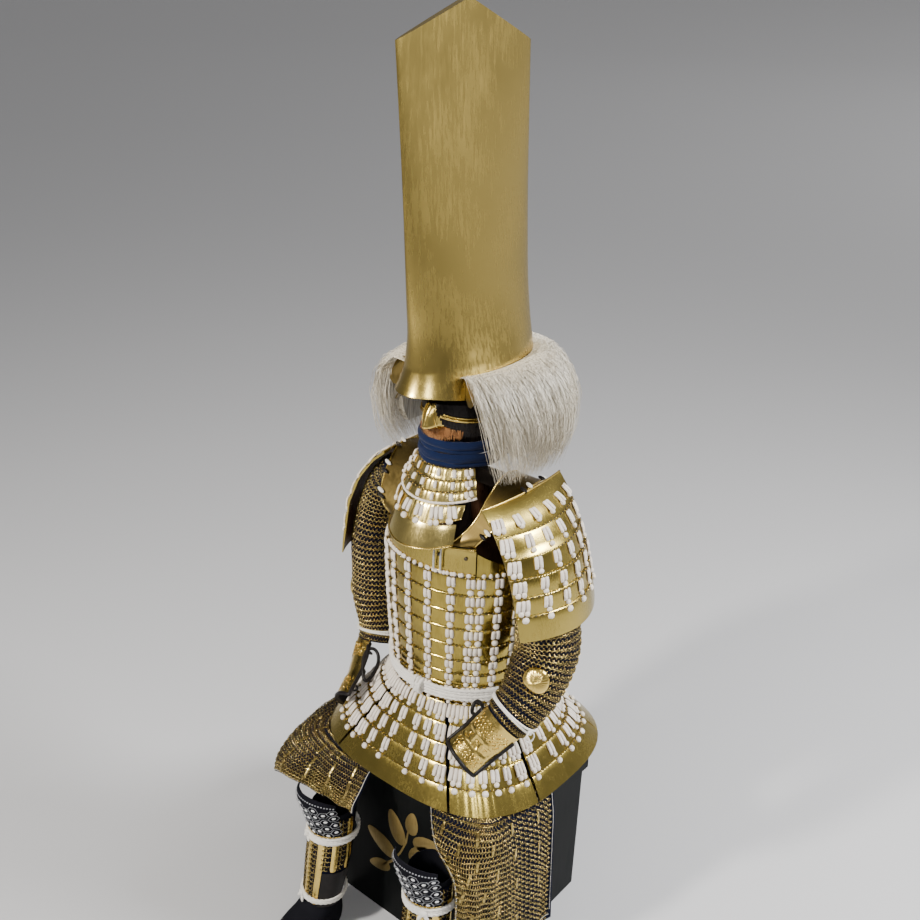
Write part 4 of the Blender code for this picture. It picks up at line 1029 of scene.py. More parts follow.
# Cuirass
# Nine rows of gilt lacquered lames in front, at the back and at each side, laced to one
# another with pairs of white silk braid and held by round white knots.
LAME_STEP = 0.0024
LAME_FOOT = 0.0004
LAME_LEDGE = 0.0016
PLATE = 0.0020
RIPPLE = 0.00042
CUIRASS_BOTTOM = 0.615
CUIRASS_LAMES = (0.0385, 0.0385, 0.0385, 0.0385, 0.036, 0.033, 0.029, 0.025, 0.022)
CUIRASS_TOP = CUIRASS_BOTTOM + sum(CUIRASS_LAMES)
CUIRASS = (
    (1.030, 0.150, 0.118),
    (0.975, 0.158, 0.126),
    (0.900, 0.160, 0.128),
    (0.800, 0.156, 0.125),
    (0.700, 0.149, 0.119),
    (0.615, 0.141, 0.113),
)

# Each lame's shape from its top to its bottom: share down, share of the step
LAME_PROFILE = ((0.0, 0.9), (0.05, 1.15), (0.25, 1.1), (0.6, 0.75), (1.0, 0.0))
LAME_SHARES = [share for share, _ in LAME_PROFILE]


def lame_course(lengths, total):
    """Rows down a laced panel: share, lift and lame number."""
    rows = []
    place = 0.0
    for index, length in enumerate(lengths):
        start = place + (LAME_LEDGE / total if index else 0.0)
        place += length / sum(lengths)
        for share, swell in LAME_PROFILE:
            rows.append((blend(start, place, share), blend(LAME_FOOT, LAME_STEP, swell), index))
    return rows


def laced_panel(name, surface, columns, lengths, total, materials, replaced, head=(), wave=0.0):
    """Add a panel of lames and return its outer grid without the head rows."""
    rows = lame_course(lengths, total)
    grid = [list(row) for row in head]
    lifts = [[0.0] * len(columns) for _ in head]
    for share, lift, lame in rows:
        line = [surface(c, share) for c in columns]
        grid.append(line)
        lifts.append([lift + RIPPLE * noise.noise(p * 34.0 + Vector((0, 0, 7.3 * lame)))
                      + wave * max(0.0, math.sin(j * 2.1 + lame)) for j, p in enumerate(line)])
    outer = moved(grid, lifts)
    inner = moved(grid, -PLATE)
    points, faces, finish = wall_mesh(outer, inner)
    add_piece(name, points, faces, materials, "gold_plate", replaced, finish)
    return outer[len(head):]


def lame_row(lame, share):
    """Row of a laced panel's grid at a share of one lame's height."""
    return lame * len(LAME_PROFILE) + float(np.interp(share, LAME_SHARES, range(len(LAME_SHARES))))


LACE_STEP = 0.0090
KNOT_STEP = 0.0112
LACE_STRIP = rounded_strip(0.0045, 0.0032, 0.0010)
LACE_KNOT = ball_template(0.0070, 0.0066, 0.0050)
LAME_BEAD = ball_template(0.0031, 0.0013, 0.0016, 0)
silk_lace = woven_finish("silk_lace", (0.55, 0.46, 0.38), (0.90, 0.83, 0.73), threads=230.0,
                         uneven=0.75, rough=0.62, bump=0.35, sheen=0.2)
bead_dark = worn_finish("bead_dark", (0.05, 0.035, 0.015), (0.02, 0.015, 0.01), 0.3, 0.5)


def lacing(grid, columns, lames, strips=2, knots=1, reach=(0.04, 0.56), knot_at=0.81, knot=1.0):
    """Lace strips and their knots for one or more columns of a panel."""
    made = []
    width = len(grid[0]) - 1
    cells = cells_of(grid)
    for lame in lames:
        top, low = cells[lame * len(LAME_PROFILE)], cells[(lame + 1) * len(LAME_PROFILE) - 1]
        height = float(np.linalg.norm(top - low, axis=1).mean())
        spots = np.array(columns) * width
        for k in range(strips):
            aside = k - (strips - 1) / 2
            made.append(stamped(LACE_STRIP, frames_on(
                grid, lame_row(lame, sum(reach) / 2), spots, shift=(aside * LACE_STEP, 0, 0.0006),
                turn=3.5 * aside, scale=(1.0, height * (reach[1] - reach[0]), 1.0))))
        for k in range(knots):
            aside = k - (knots - 1) / 2
            size = knot * min(1.0, height / 0.034)
            made.append(stamped(LACE_KNOT, frames_on(
                grid, lame_row(lame, knot_at), spots, shift=(aside * KNOT_STEP, 0, 0.0016),
                scale=(size if knots == 1 else 0.80, size, 1.0))))
    return made


def lame_beads(grid, lames, pitch=0.0060):
    """The scalloped heads along the top of each lame, gilt and dark by turns."""
    made = []
    cells = cells_of(grid)
    for lame in lames:
        top = cells[lame * len(LAME_PROFILE)]
        length = np.linalg.norm(np.diff(top, axis=0), axis=1).sum()
        count = max(2, int(length / pitch))
        spots = (np.arange(count) + 0.5) / count * (len(grid[0]) - 1)
        for shade in (0, 1):
            made.append(stamped(LAME_BEAD, frames_on(
                grid, lame_row(lame, 0.02), spots[shade::2], shift=(0, 0.0006, 0.0004),
                turn=22.0, scale=(1.0, 1.25, 1.0)), 1 + shade))
    return made


def outward(points):
    """Level directions away from the middle of the body."""
    return [Vector((p.x, p.y - BODY_Y, 0)).normalized() for p in points]


def cuirass_point(angle, height, out=0.0):
    """Point of the cuirass at an angle and a height, moved out by a distance."""
    half, deep = from_table(CUIRASS, height)
    return oval(half + out, deep + out, BODY_Y, height, angle)


# Cuirass gold: the lowered base tone and the dark worn patches are partly wear and partly painted dark
# reflection, in place of dark surroundings for the gold to mirror.
plate_gold = worn_finish("plate_gold", (0.37, 0.280, 0.064), (0.21, 0.150, 0.030), 0.12, 0.26,
                         metal=1.0, wear=0.7, patch=26.0, fine=300.0, bump=0.18)
plate_back = worn_finish("plate_back", (0.045, 0.020, 0.010), (0.09, 0.045, 0.02), 0.25, 0.45)
CUIRASS_LACES = (-41.2, -27.0, -9.0, 9.0, 27.0, 41.2)
for word, middle in (("front", 0), ("left", 90), ("back", 180), ("right", 270)):
    angles = [middle + a for a in spread(-44.93, 44.93, 46)]
    head = ()
    if word in ("left", "right"):
        head = ([cuirass_point(a, 0.930 + 0.034 * ((a - middle) / 45) ** 2) for a in angles],
                [cuirass_point(a, CUIRASS_TOP + LAME_LEDGE) for a in angles])
    grid = laced_panel("cuirass_lames_" + word,
                       lambda a, share: cuirass_point(a, blend(CUIRASS_TOP, CUIRASS_BOTTOM, share)),
                       angles, CUIRASS_LAMES, CUIRASS_TOP - CUIRASS_BOTTOM,
                       [plate_gold, plate_back], ["cuirass_" + word], head)
    shares = [(a + 44.93) / 89.86 for a in CUIRASS_LACES]
    shapes = lacing(grid, shares, range(9)) + lame_beads(grid, range(9))
    knots = frames_on(grid, 0.2, np.linspace(0.06, 0.94, 16) * 45, shift=(0, 0.0052, 0.0012),
                      scale=(0.62, 0.66, 0.72))
    shapes.append(stamped(LACE_KNOT, knots))
    add_shapes("cuirass_lacing_" + word, shapes, [silk_lace, splint_gold, bead_dark])


# Chest and back plates
# Plain gilt plates close the top of the cuirass in front and behind. Their rims are
# turned, dark rivets hold the shoulder straps and two silver cords hang in front.
CHEST_TOP = 0.975
BACK_TOP = 1.030
RIVET = ball_template(0.0042, 0.0042, 0.0022)
satin_gold = worn_finish("satin_gold", (0.42, 0.32, 0.080), (0.35, 0.26, 0.060), 0.20, 0.32,
                         metal=1.0, wear=0.5, patch=16.0, fine=320.0, bump=0.05)
for name, middle, top in (("chest_plate", 0, CHEST_TOP), ("back_plate", 180, BACK_TOP)):
    low = CUIRASS_TOP + 0.0003
    grid = []
    for share in (0.0, 0.04, 0.08, 0.3, 0.6, 1.0):
        turned = {0.0: 0.0022, 0.04: 0.0030, 0.08: 0.0004}.get(share, 0.0)
        grid.append([cuirass_point(middle + a, blend(top, low, share), turned)
                     for a in spread(-44, 44, 37)])
    add_wall(name + "_gilt", grid, PLATE, [satin_gold, plate_back], "gold_plate", [name])
    rivets = frames_on(grid, 3.2, np.array([3.0, 11.0, 25.0, 33.0]), shift=(0, 0, 0.0008))
    knots = frames_on(grid, 4.85, np.linspace(2, 34, 14), shift=(0, 0, 0.0016),
                      scale=(0.68, 0.70, 0.72))
    shapes = [stamped(RIVET, rivets, 2), stamped(LACE_KNOT, knots)]
    outs = outward(grid[1])
    shapes.append(rod(grid[1], outs, 0.0016, 1))
    shapes.append(rod([p + Vector((0, 0, 0.006)) for p in grid[-1]], outs, 0.0012, 1))
    add_shapes(name + "_rim", shapes, [silk_lace, splint_gold, bead_dark])

silver_cord = woven_finish("silver_cord", (0.26, 0.25, 0.24), (0.62, 0.60, 0.57), threads=260.0,
                           rough=0.55, gloss=0.4)
PENDANT_ANGLES = (14.0, 19.0)
PENDANT_TOP = 0.972
PENDANT_LENGTH = 0.048
for word, angle in zip(("inner", "outer"), PENDANT_ANGLES):
    hang = [cuirass_point(angle, PENDANT_TOP - PENDANT_LENGTH * t, 0.0062 + 0.0012 * math.sin(3 * t))
            for t in spread(0, 1, 24)]
    outs = [Vector((math.sin(math.radians(angle)), -math.cos(math.radians(angle)), 0))] * 24
    pendant = add_shapes("pendant_cord_" + word, [rope(hang, outs, 0.0019, 0.006, closed=False)],
                         [silver_cord])


# Waist sash
# Four twisted white cords wound side by side round the waist to take the weight off
# the shoulders, and bound together by a knot in front.
SASH_HEIGHT = 0.645


def sash_place(share, level=0.0, out=0.0):
    """Point of a sash cord at a share of the way round, a little lower in front."""
    angle = 360.0 * share
    height = SASH_HEIGHT - 0.004 * math.cos(math.radians(angle + 20)) + level
    return cuirass_point(angle, height, LAME_STEP + 0.0042 + out)


shapes = []
for wind, level in enumerate((-0.0108, -0.0036, 0.0036, 0.0108)):
    out = 0.0008 * (wind % 2)
    shapes.append(rope(*ring_path(lambda share: sash_place(share, level, out), 300), 0.0037, 0.0105))
knot_at = sash_place(2 / 360)
for k, (aside, lean) in enumerate(((-0.0065, -0.12), (0.0, 0.0), (0.0065, 0.12), (0.0015, 0.5))):
    loop = []
    for step in range(40):
        turn = 2 * math.pi * step / 40
        loop.append(knot_at + Vector((aside + lean * 0.016 * math.sin(turn),
                                      -0.0030 - 0.0092 * math.cos(turn), 0.0160 * math.sin(turn))))
    middle = sum(loop, Vector()) / 40
    shapes.append(rope(loop, [p - middle for p in loop], 0.0036, 0.0105))
add_shapes("sash_cords", shapes, [white_cord], ["sash", "sash_knot"])


# Skirt
# Seven panels of five lames hang from the cuirass on longer white lacing, so that they
# can spread over a rider's thighs. The lowest lame of each is deep and plain.
SKIRT_BOTTOM = 0.450
SKIRT_DROP = 0.0019
TASSET_LAMES = (0.19, 0.19, 0.19, 0.19, 0.24)
SECTOR = 360.0 / 7


def skirt_point(angle, share):
    """Point of the skirt at an angle and a share of the way down."""
    top = cuirass_point(angle, CUIRASS_BOTTOM)
    low = oval(0.272, 0.250, 0.004, SKIRT_BOTTOM, angle, power=2.9)
    place = top.lerp(low, share)
    place.z = blend(CUIRASS_BOTTOM - SKIRT_DROP, SKIRT_BOTTOM, share)
    return place


for index, word in enumerate(("front", "front_left", "side_left", "rear_left", "rear_right",
                              "side_right", "front_right")):
    def tasset_place(t, share, middle=SECTOR * index):
        half = blend(SECTOR * 0.462, SECTOR * 0.488, share)
        return skirt_point(middle + half * t, share)
    grid = laced_panel("tasset_lames_" + word, tasset_place, spread(-1, 1, 33), TASSET_LAMES, 0.22,
                       [satin_gold, plate_back], ["tasset_" + word],
                       wave=0.0013 if word == "front_left" else 0.0003)
    shapes = lacing(grid, (0.26, 0.42, 0.58, 0.74), range(4), reach=(0.06, 0.70), knot=0.8)
    shapes += lacing(grid, (0.075, 0.925), range(4), strips=3, knots=2, reach=(0.06, 0.72))
    shapes += lame_beads(grid, range(5))
    low_knots = frames_on(grid, lame_row(4, 0.12), np.array([0.06, 0.26, 0.42, 0.58, 0.74, 0.94]) * 32,
                          shift=(0, 0, 0.0016))
    shapes.append(stamped(LACE_KNOT, low_knots))
    hang = frames_on([[skirt_point(SECTOR * (index + 0.462 * t), s) - Vector((0, 0, 0.004 * (1 - s)))
                       for t in spread(-1, 1, 9)] for s in (-0.10, 0.0, 0.1)],
                     0.9, np.array([1.2, 2.6, 4.0, 5.4, 6.8]), shift=(0, 0, 0.0012),
                     scale=(1.0, 0.016, 1.0))
    shapes.append(stamped(LACE_STRIP, hang))
    add_shapes("tasset_lacing_" + word, shapes, [silk_lace, splint_gold, bead_dark])


# Sleeves
# Dark cloth sleeves with linked gilt mail from the shoulder to the wrist and a ridged
# round plate at the elbow.
SLEEVE_LEFT = (
    (0.122, -0.034, 1.044, 0.034, 0.044),
    (0.170, -0.036, 1.010, 0.042, 0.058),
    (0.206, -0.040, 0.950, 0.043, 0.061),
    (0.2205, -0.044, 0.870, 0.0540, 0.062),
    (0.236, -0.050, 0.790, 0.060, 0.062),
    (0.236, -0.082, 0.725, 0.057, 0.057),
    (0.228, -0.118, 0.682, 0.050, 0.050),
    (0.213, -0.144, 0.652, 0.043, 0.043),
)
SLEEVE_RIGHT = (
    (-0.122, -0.034, 1.044, 0.034, 0.044),
    (-0.170, -0.034, 1.010, 0.042, 0.058),
    (-0.206, -0.030, 0.940, 0.043, 0.061),
    (-0.2200, -0.036, 0.860, 0.0500, 0.060),
    (-0.2220, -0.034, 0.780, 0.0530, 0.058),
    (-0.2200, -0.040, 0.715, 0.050, 0.054),
    (-0.2060, -0.046, 0.652, 0.043, 0.046),
    (-0.2000, -0.060, 0.612, 0.040, 0.040),
)
SLEEVE_ROWS = 56
SLEEVE_SIDES = 42
BOSS_RADIUS = 0.026
BOSS_HEIGHT = 0.009


def sleeve_grid(table, rows=SLEEVE_ROWS, sides=SLEEVE_SIDES):
    """Rings square to the arm's path, columns starting at the front."""
    centres = smooth_row([Vector(row[:3]) for row in table], rows)
    sizes = smooth_row([Vector((row[3], row[4], 0)) for row in table], rows)
    grid = []
    for i, centre in enumerate(centres):
        down = (centres[min(i + 1, rows - 1)] - centres[max(i - 1, 0)]).normalized()
        front = Vector((0, -1, 0))
        front = (front - down * front.dot(down)).normalized()
        left = front.cross(down)
        if left.x < 0:
            left = -left
        grid.append([centre + left * (sizes[i].x * math.sin(2 * math.pi * j / sides))
                     + front * (sizes[i].y * math.cos(2 * math.pi * j / sides))
                     for j in range(sides)])
    return grid


def elbow_plate(grid, row, column):
    """Round ridged plate that follows the sleeve under it."""
    cells = cells_of(grid)
    step_down = np.linalg.norm(cells[int(row) + 1, int(column)] - cells[int(row), int(column)])
    step_side = np.linalg.norm(cells[int(row), int(column) + 1] - cells[int(row), int(column)])
    top = []
    bottom = []
    for ring in range(9):
        share = 1.0 - ring / 8.6
        turn = 2 * math.pi * np.arange(72) / 72
        frames = frames_on(grid, row + BOSS_RADIUS * share * np.cos(turn) / step_down,
                           column + BOSS_RADIUS * share * np.sin(turn) / step_side, closed=True)
        ridge = 0.0006 * np.cos(24 * turn) * min(1.0, 3 * share) * (0.0 if ring < 1 else 1.0)
        rise = 0.0022 + BOSS_HEIGHT * math.sqrt(1 - share ** 2 * 0.99) + ridge
        top.append(frames[:, :3, 3] + frames[:, :3, 2] * rise[:, None])
        bottom.append(frames[:, :3, 3] + frames[:, :3, 2] * 0.0010)
    return lofted_template([list(ring) for ring in bottom[:1] + top])


sleeves = {}
for word, table, boss in (("left", SLEEVE_LEFT, (38.5, 3.0)), ("right", SLEEVE_RIGHT, (38.5, 33.0))):
    grid = sleeve_grid(table)
    sleeves[word] = grid
    arm_cloth = add_wall("arm_cloth_" + word, grid, CLOTH, [navy_cloth, black_cotton],
                         "mail_cloth", ["sleeve_" + word], closed=True)
    rings = mail_frames(grid, MAIL_PITCH, 0.10, 0.99, closed=True)
    add_shapes("arm_mail_" + word, [stamped(MAIL_RING, rings)], [mail_gold])
    points, quads = elbow_plate(grid, *boss)
    add_shapes("elbow_cap_" + word, [(points, quads, 0)], [splint_gold],
               ["elbow_plate_" + word])


# Wrist cords
# Two thin white cords tie each sleeve at the wrist over the root of the hand guard.
def sleeve_ring(grid, row, out, lean=0.0):
    """Closed path round a sleeve at a row, leaning down toward its front."""
    columns = np.linspace(0, SLEEVE_SIDES, 150, endpoint=False)
    rows = row + lean * np.cos(2 * math.pi * columns / SLEEVE_SIDES)
    frames = frames_on(grid, rows, columns, shift=(0, 0, out), closed=True)
    return path_of(frames)


for word in ("left", "right"):
    shapes = [rope(*sleeve_ring(sleeves[word], 49.2, 0.0040, 0.5), 0.0022, 0.007),
              rope(*sleeve_ring(sleeves[word], 50.6, 0.0040, -0.5), 0.0022, 0.007)]
    knot = frames_on(sleeves[word], 49.9, 8.0 if word == "left" else 34.0, shift=(0, 0, 0.005),
                     closed=True)
    shapes.append(stamped(ball_template(0.0052, 0.0060, 0.0042, 2), knot))
    add_shapes("wrist_cords_" + word, shapes, [white_cord], ["wrist_tie_" + word])
    if word == "left":
        start = Vector(knot[0][:3, 3])
        out = Vector(knot[0][:3, 2])
        across = out.cross(Vector((0, 0, 1))).normalized()
        loop = [start + out * 0.003 + across * (0.0095 * math.sin(turn)) - Vector((0, 0, 1)) * (
            0.0105 * (1.0 - math.cos(turn)) - 0.001) for turn in spread(0.35, 2 * math.pi - 0.35, 30)]
        bow = add_shapes("wrist_bow_left", [rope(loop, [out] * 30, 0.0015, 0.005, closed=False)],
                         [white_cord])


# Hand guards
# An embossed gilt plate over the back of each hand, bound in black leather, which runs
# on as loops for the fingers. The left one has small sunk windows.
HAND_LEFT = (Vector((0.164, -0.212, 0.580)), Vector((0.42, -0.52, 0.74)))
HAND_RIGHT = (Vector((-0.172, -0.188, 0.535)), Vector((-0.80, -0.30, 0.50)))
HAND_HALF_WIDTH = 0.041
HAND_ARCH = 0.026
HAND_SEAT = 0.0028


def hand_grid(table, tip, back):
    """Arched plate from the sleeve's end over the back of the hand."""
    sleeve = sleeve_grid(table, 11, 14)
    last = sleeve[-1]
    wrist = sum(last, Vector()) / len(last)
    radius = max((p - wrist).length for p in last) + HAND_SEAT
    down = (wrist - sum(sleeve[-2], Vector()) / len(last)).normalized()
    along = (tip - wrist).normalized()
    length = (tip - wrist).length
    grid = []
    for share in spread(0.0, 1.0, 36):
        axis = down.lerp(along, min(1.0, share * 2.5)).normalized()
        up = (back - axis * back.dot(axis)).normalized()
        across = axis.cross(up)
        flat = min(1.0, share * 1.6)
        half = blend(radius, HAND_HALF_WIDTH, flat)
        row = []
        for t in spread(-1.0, 1.0, 37):
            turn = math.radians(72 * t)
            round_place = across * (half * math.sin(turn)) + up * (radius * math.cos(turn))
            arch = HAND_ARCH * (1.0 - abs(t) ** 2.6) * (1.0 - 0.2 * share)
            flat_place = across * (half * t) + up * arch
            row.append(wrist + along * (length * share) + round_place.lerp(flat_place, flat))
        grid.append(row)
    middle = grid[18]
    normal = (grid[19][18] - middle[18]).cross(middle[19] - middle[18])
    return [row[::-1] for row in grid] if normal.dot(back) < 0 else grid


EMBOSS_DOT = ball_template(0.0015, 0.0015, 0.0011, 0)
EMBOSS_LEAF = ball_template(0.0020, 0.0044, 0.0012, 1)


def thumb_loop(grid, word, spine):
    """The leather loop for the thumb, sewn to the guard's edge nearest the body."""
    if word == "left":
        last = 0 if grid[9][0].x < grid[9][-1].x else -1
        middle, size, reach = grid[8][last], 0.013, 0.014
        aside = (middle - grid[8][18]).normalized()
    else:
        last = 0 if grid[18][0].y < grid[18][-1].y else -1
        middle, size, reach = grid[17][last], 0.036, 0.016
        aside = -spine
    along = (grid[20][last] - grid[8][last]).normalized()
    path = []
    for k in range(40):
        turn = 2 * math.pi * k / 40
        narrow = 1.0 - 0.30 * math.cos(turn)
        path.append(middle + aside * (reach * (1.0 - math.sin(turn) * narrow) - 0.004)
                    + along * (size * math.cos(turn)))
    return rope(path, [spine.cross(along) if word == "right" else spine] * 40, 0.0038, 0.0, depth=0.0)


def embossing(grid, rows):
    """Leaves and dots beaten up from behind, in a close running pattern."""
    made = []
    draw = random.Random(41)
    for row in np.arange(*rows, 2.6):
        columns = np.arange(4.0 + (row % 2) * 1.6, 33.0, 3.2)
        turns = [draw.uniform(-70, 70) for _ in columns]
        made.append(stamped(EMBOSS_LEAF, frames_on(grid, row, columns, shift=(0, 0, 0.0004), turn=turns)))
        made.append(stamped(EMBOSS_DOT, frames_on(grid, row + 1.3, columns + 1.6, shift=(0, 0, 0.0005))))
    return made


for word, table, hand in (("left", SLEEVE_LEFT, HAND_LEFT), ("right", SLEEVE_RIGHT, HAND_RIGHT)):
    grid = hand_grid(table, *hand)
    relief = []
    for i in range(36):
        row = []
        for j in range(37):
            lift = 0.0
            if word == "left" and 15 <= i <= 24 and 3 <= j <= 33:
                window = 17 <= i <= 22 and (j - 3) % 10 in range(2, 9)
                lift = -0.0014 if window else 0.0014
            lift += 0.0004 * noise.noise(Vector((i * 0.4, j * 0.4, 2.0)))
            row.append(lift)
        relief.append(row)
    add_wall("hand_plate_" + word, moved(grid, relief), PLATE, [splint_gold, black_leather],
             "gold_plate", ["hand_guard_" + word], inner=moved(grid, -PLATE))
    rim = [row[0] for row in grid[4:]] + grid[-1][1:] + [row[-1] for row in grid[-2:3:-1]]
    spine = (grid[18][18] - sum((grid[18][0], grid[18][-1]), Vector()) / 2).normalized()
    shapes = [rod(rim, [spine] * len(rim), 0.0042), thumb_loop(grid, word, spine)]
    for at in (0.25, 0.55, 0.8):
        row = grid[int(at * 35)]
        strap = [row[2].lerp(row[-3], t) - spine * (0.016 * math.sin(math.pi * t) + 0.002)
                 for t in spread(0, 1, 20)]
        shapes.append(rod(strap, [spine] * 20, 0.0022))
    add_shapes("hand_leather_" + word, shapes, [black_leather])
    beaten = embossing(grid, (5.0, 14.0)) + embossing(grid, (26.0, 33.0))
    if word == "left":
        petals = frames_on(grid, 19.5, np.repeat([8.0, 18.0, 28.0], 5), shift=(0, 0, -0.0008),
                           turn=np.tile([0, 72, 144, 216, 288], 3))
        beaten.append(stamped(EMBOSS_LEAF, petals))
    add_shapes("hand_embossing_" + word, beaten, [splint_gold])


# Shoulder straps
# Broad gilt straps carry the cuirass over the shoulders. White and black toggles on
# their outer edges hold the shoulder guards.
STRAP = (
    (-0.132, 0.9766, 0.062, 0.106),
    (-0.126, 0.999, 0.082, 0.124),
    (-0.108, 1.026, 0.096, 0.142),
    (-0.074, 1.064, 0.098, 0.152),
    (-0.030, 1.086, 0.092, 0.1595),
    (0.020, 1.080, 0.084, 0.148),
    (0.056, 1.058, 0.076, 0.130),
    (0.072, 1.0324, 0.062, 0.106),
)
STRAP_WALL = 0.003
dull_gold = worn_finish("dull_gold", (0.22, 0.155, 0.048), (0.12, 0.085, 0.03), 0.28, 0.46,
                        metal=1.0, wear=0.7, patch=22.0)
TOGGLE = ball_template(0.0038, 0.0100, 0.0036, 2)
TOGGLE_ROWS = np.array([8.0, 15.0, 21.0, 27.0])
for word, side in SIDES:
    control = []
    for index, (y, z, near, far) in enumerate(STRAP):
        row = []
        for x in spread(near, far, 5):
            place = Vector((side * x, y, z))
            if index in (0, len(STRAP) - 1):
                half, deep = from_table(CUIRASS, z)
                place.y = BODY_Y + math.copysign(deep * math.sqrt(1.0 - (x / half) ** 2), y)
            row.append(place)
        control.append(row if side > 0 else row[::-1])
    strap = smooth_grid(control[::-1], 36, 13)
    add_wall("strap_plate_" + word, strap, STRAP_WALL, [dull_gold, plate_back], "dark_gold",
             ["shoulder_strap_" + word])
    outer = 12 if side > 0 else 0
    shapes = []
    for column in (0, 12):
        edge = [row[column] for row in strap]
        outs = [Vector(frames_on(strap, float(i), float(column))[0][:3, 2]) for i in range(36)]
        shapes.append(rod(edge, outs, 0.0019, 1))
    for row_shift, finish in ((0.0, 0), (1.6, 2)):
        toggles = frames_on(strap, TOGGLE_ROWS + row_shift, outer - 0.6 * side,
                            shift=(0, 0, 0.0044), turn=70.0)
        shapes.append(stamped(TOGGLE, toggles, finish))
    add_shapes("strap_toggles_" + word, shapes, [white_cord, splint_gold, black_leather])


# Shoulder guards
# Large hanging guards of six gilt lames, brown lacquer behind. Lacing runs down them in
# pairs, in threes at the front edge, and the lowest lame is deep and plain.
GUARD_LEFT = (
    (1.081, 0.1496, 0.010, -0.043, 0.118, 0.000),
    (1.055, 0.180, 0.026, -0.050, 0.118, 0.000),
    (1.010, 0.206, 0.038, -0.050, 0.118, 0.000),
    (0.960, 0.224, 0.042, -0.046, 0.119, 0.000),
    (0.848, 0.246, 0.046, -0.035, 0.121, 0.000),
)
GUARD_RIGHT = (
    (1.081, 0.1526, 0.010, 0.022, 0.115, 0.000),
    (1.055, 0.180, 0.026, 0.022, 0.116, 0.004),
    (1.010, 0.206, 0.038, 0.018, 0.118, 0.010),
    (0.950, 0.222, 0.044, 0.012, 0.119, 0.016),
    (0.833, 0.228, 0.050, 0.002, 0.120, 0.020),
)
GUARD_LAMES = (0.16, 0.155, 0.155, 0.155, 0.155, 0.22)
for word, side, table in (("left", 1, GUARD_LEFT), ("right", -1, GUARD_RIGHT)):
    def guard_place(t, share, side=side, table=table):
        z = blend(table[0][0], table[-1][0], share)
        edge, bulge, centre, half, flare = from_table(table, z)
        t = t * side
        return Vector((side * (edge + bulge * (1.0 - t * t) - flare * t), centre + half * t, z))
    height = table[0][0] - table[-1][0]
    grid = laced_panel("shoulder_lames_" + word, guard_place, spread(-1, 1, 41), GUARD_LAMES, height,
                       [satin_gold, plate_back], ["shoulder_guard_" + word])
    front, rest = (0.055, (0.24, 0.42, 0.60, 0.78, 0.94)) if side > 0 else (
        0.945, (0.76, 0.58, 0.40, 0.22, 0.06))
    shapes = lacing(grid, rest, range(1), reach=(0.40, 0.78), knot=0.8)
    shapes += lacing(grid, (front,), range(1), strips=3, knots=2, reach=(0.40, 0.80))
    shapes += lacing(grid, rest, range(1, 5), reach=(0.08, 0.68), knot=0.8)
    shapes += lacing(grid, (front,), range(1, 5), strips=3, knots=2, reach=(0.10, 0.72))
    shapes += lame_beads(grid, range(1, 6))
    spots = np.array((front,) + rest) * 40
    shapes.append(stamped(LACE_KNOT, frames_on(grid, lame_row(5, 0.10), spots, shift=(0, 0, 0.0016))))
    shapes.append(rod(grid[0], [Vector((side * 0.6, 0, 0.8))] * len(grid[0]), 0.0022, 1))
    add_shapes("shoulder_lacing_" + word, shapes, [silk_lace, splint_gold, bead_dark])


# Mask
# A half mask of iron: gilt nose and upper rim, black lacquered cheeks, and bristles set
# round the mouth. Its face is calm and plain.
MASK = (
    (1.236, 0.0745, 0.092, 0.010),
    (1.222, 0.0750, 0.092, 0.020),
    (1.206, 0.0750, 0.091, 0.028),
    (1.196, 0.0745, 0.090, 0.030),
    (1.188, 0.0740, 0.088, 0.003),
    (1.178, 0.0732, 0.087, 0.002),
    (1.168, 0.0720, 0.085, 0.002),
    (1.148, 0.0680, 0.079, 0.006),
    (1.138, 0.0660, 0.075, 0.003),
)
MASK_ANGLES = (0, 7, 14, 28, 48, 70, 92)
MASK_SIDES = [-a for a in MASK_ANGLES[:0:-1]] + list(MASK_ANGLES)
mask_control = moved([[oval(half, depth, BODY_Y, z, a) for a in MASK_SIDES]
                      for z, half, depth, _ in MASK],
                     [[nose * math.exp(-(a / 11.0) ** 2) for a in MASK_SIDES]
                      for _, _, _, nose in MASK])
mask_back = [[oval(half - 0.002, depth - 0.002, BODY_Y, z, a) for a in MASK_SIDES]
             for z, half, depth, _ in MASK]
mask_outer = smooth_grid(mask_control, 41, 61)
mask_inner = smooth_grid(mask_back, 41, 61)
mask_black = worn_finish("mask_black", (0.005, 0.004, 0.004), (0.012, 0.008, 0.006), 0.20, 0.38,
                         wear=0.7, patch=40.0, gloss=0.15)
points, faces, finish = wall_mesh(mask_outer, mask_inner)
mask_finish = []
for face, shade in zip(faces, finish):
    centre = sum((points[k] for k in face), Vector()) / len(face)
    gilt = abs(centre.x) < 0.010 + 0.33 * (1.232 - centre.z) and centre.z > 1.187
    mask_finish.append(2 if shade else (0 if gilt else 1))
add_piece("mask_face", points, faces, [splint_gold, mask_black, plate_back], "dark_gold", ["mask"],
          mask_finish)
shapes = []
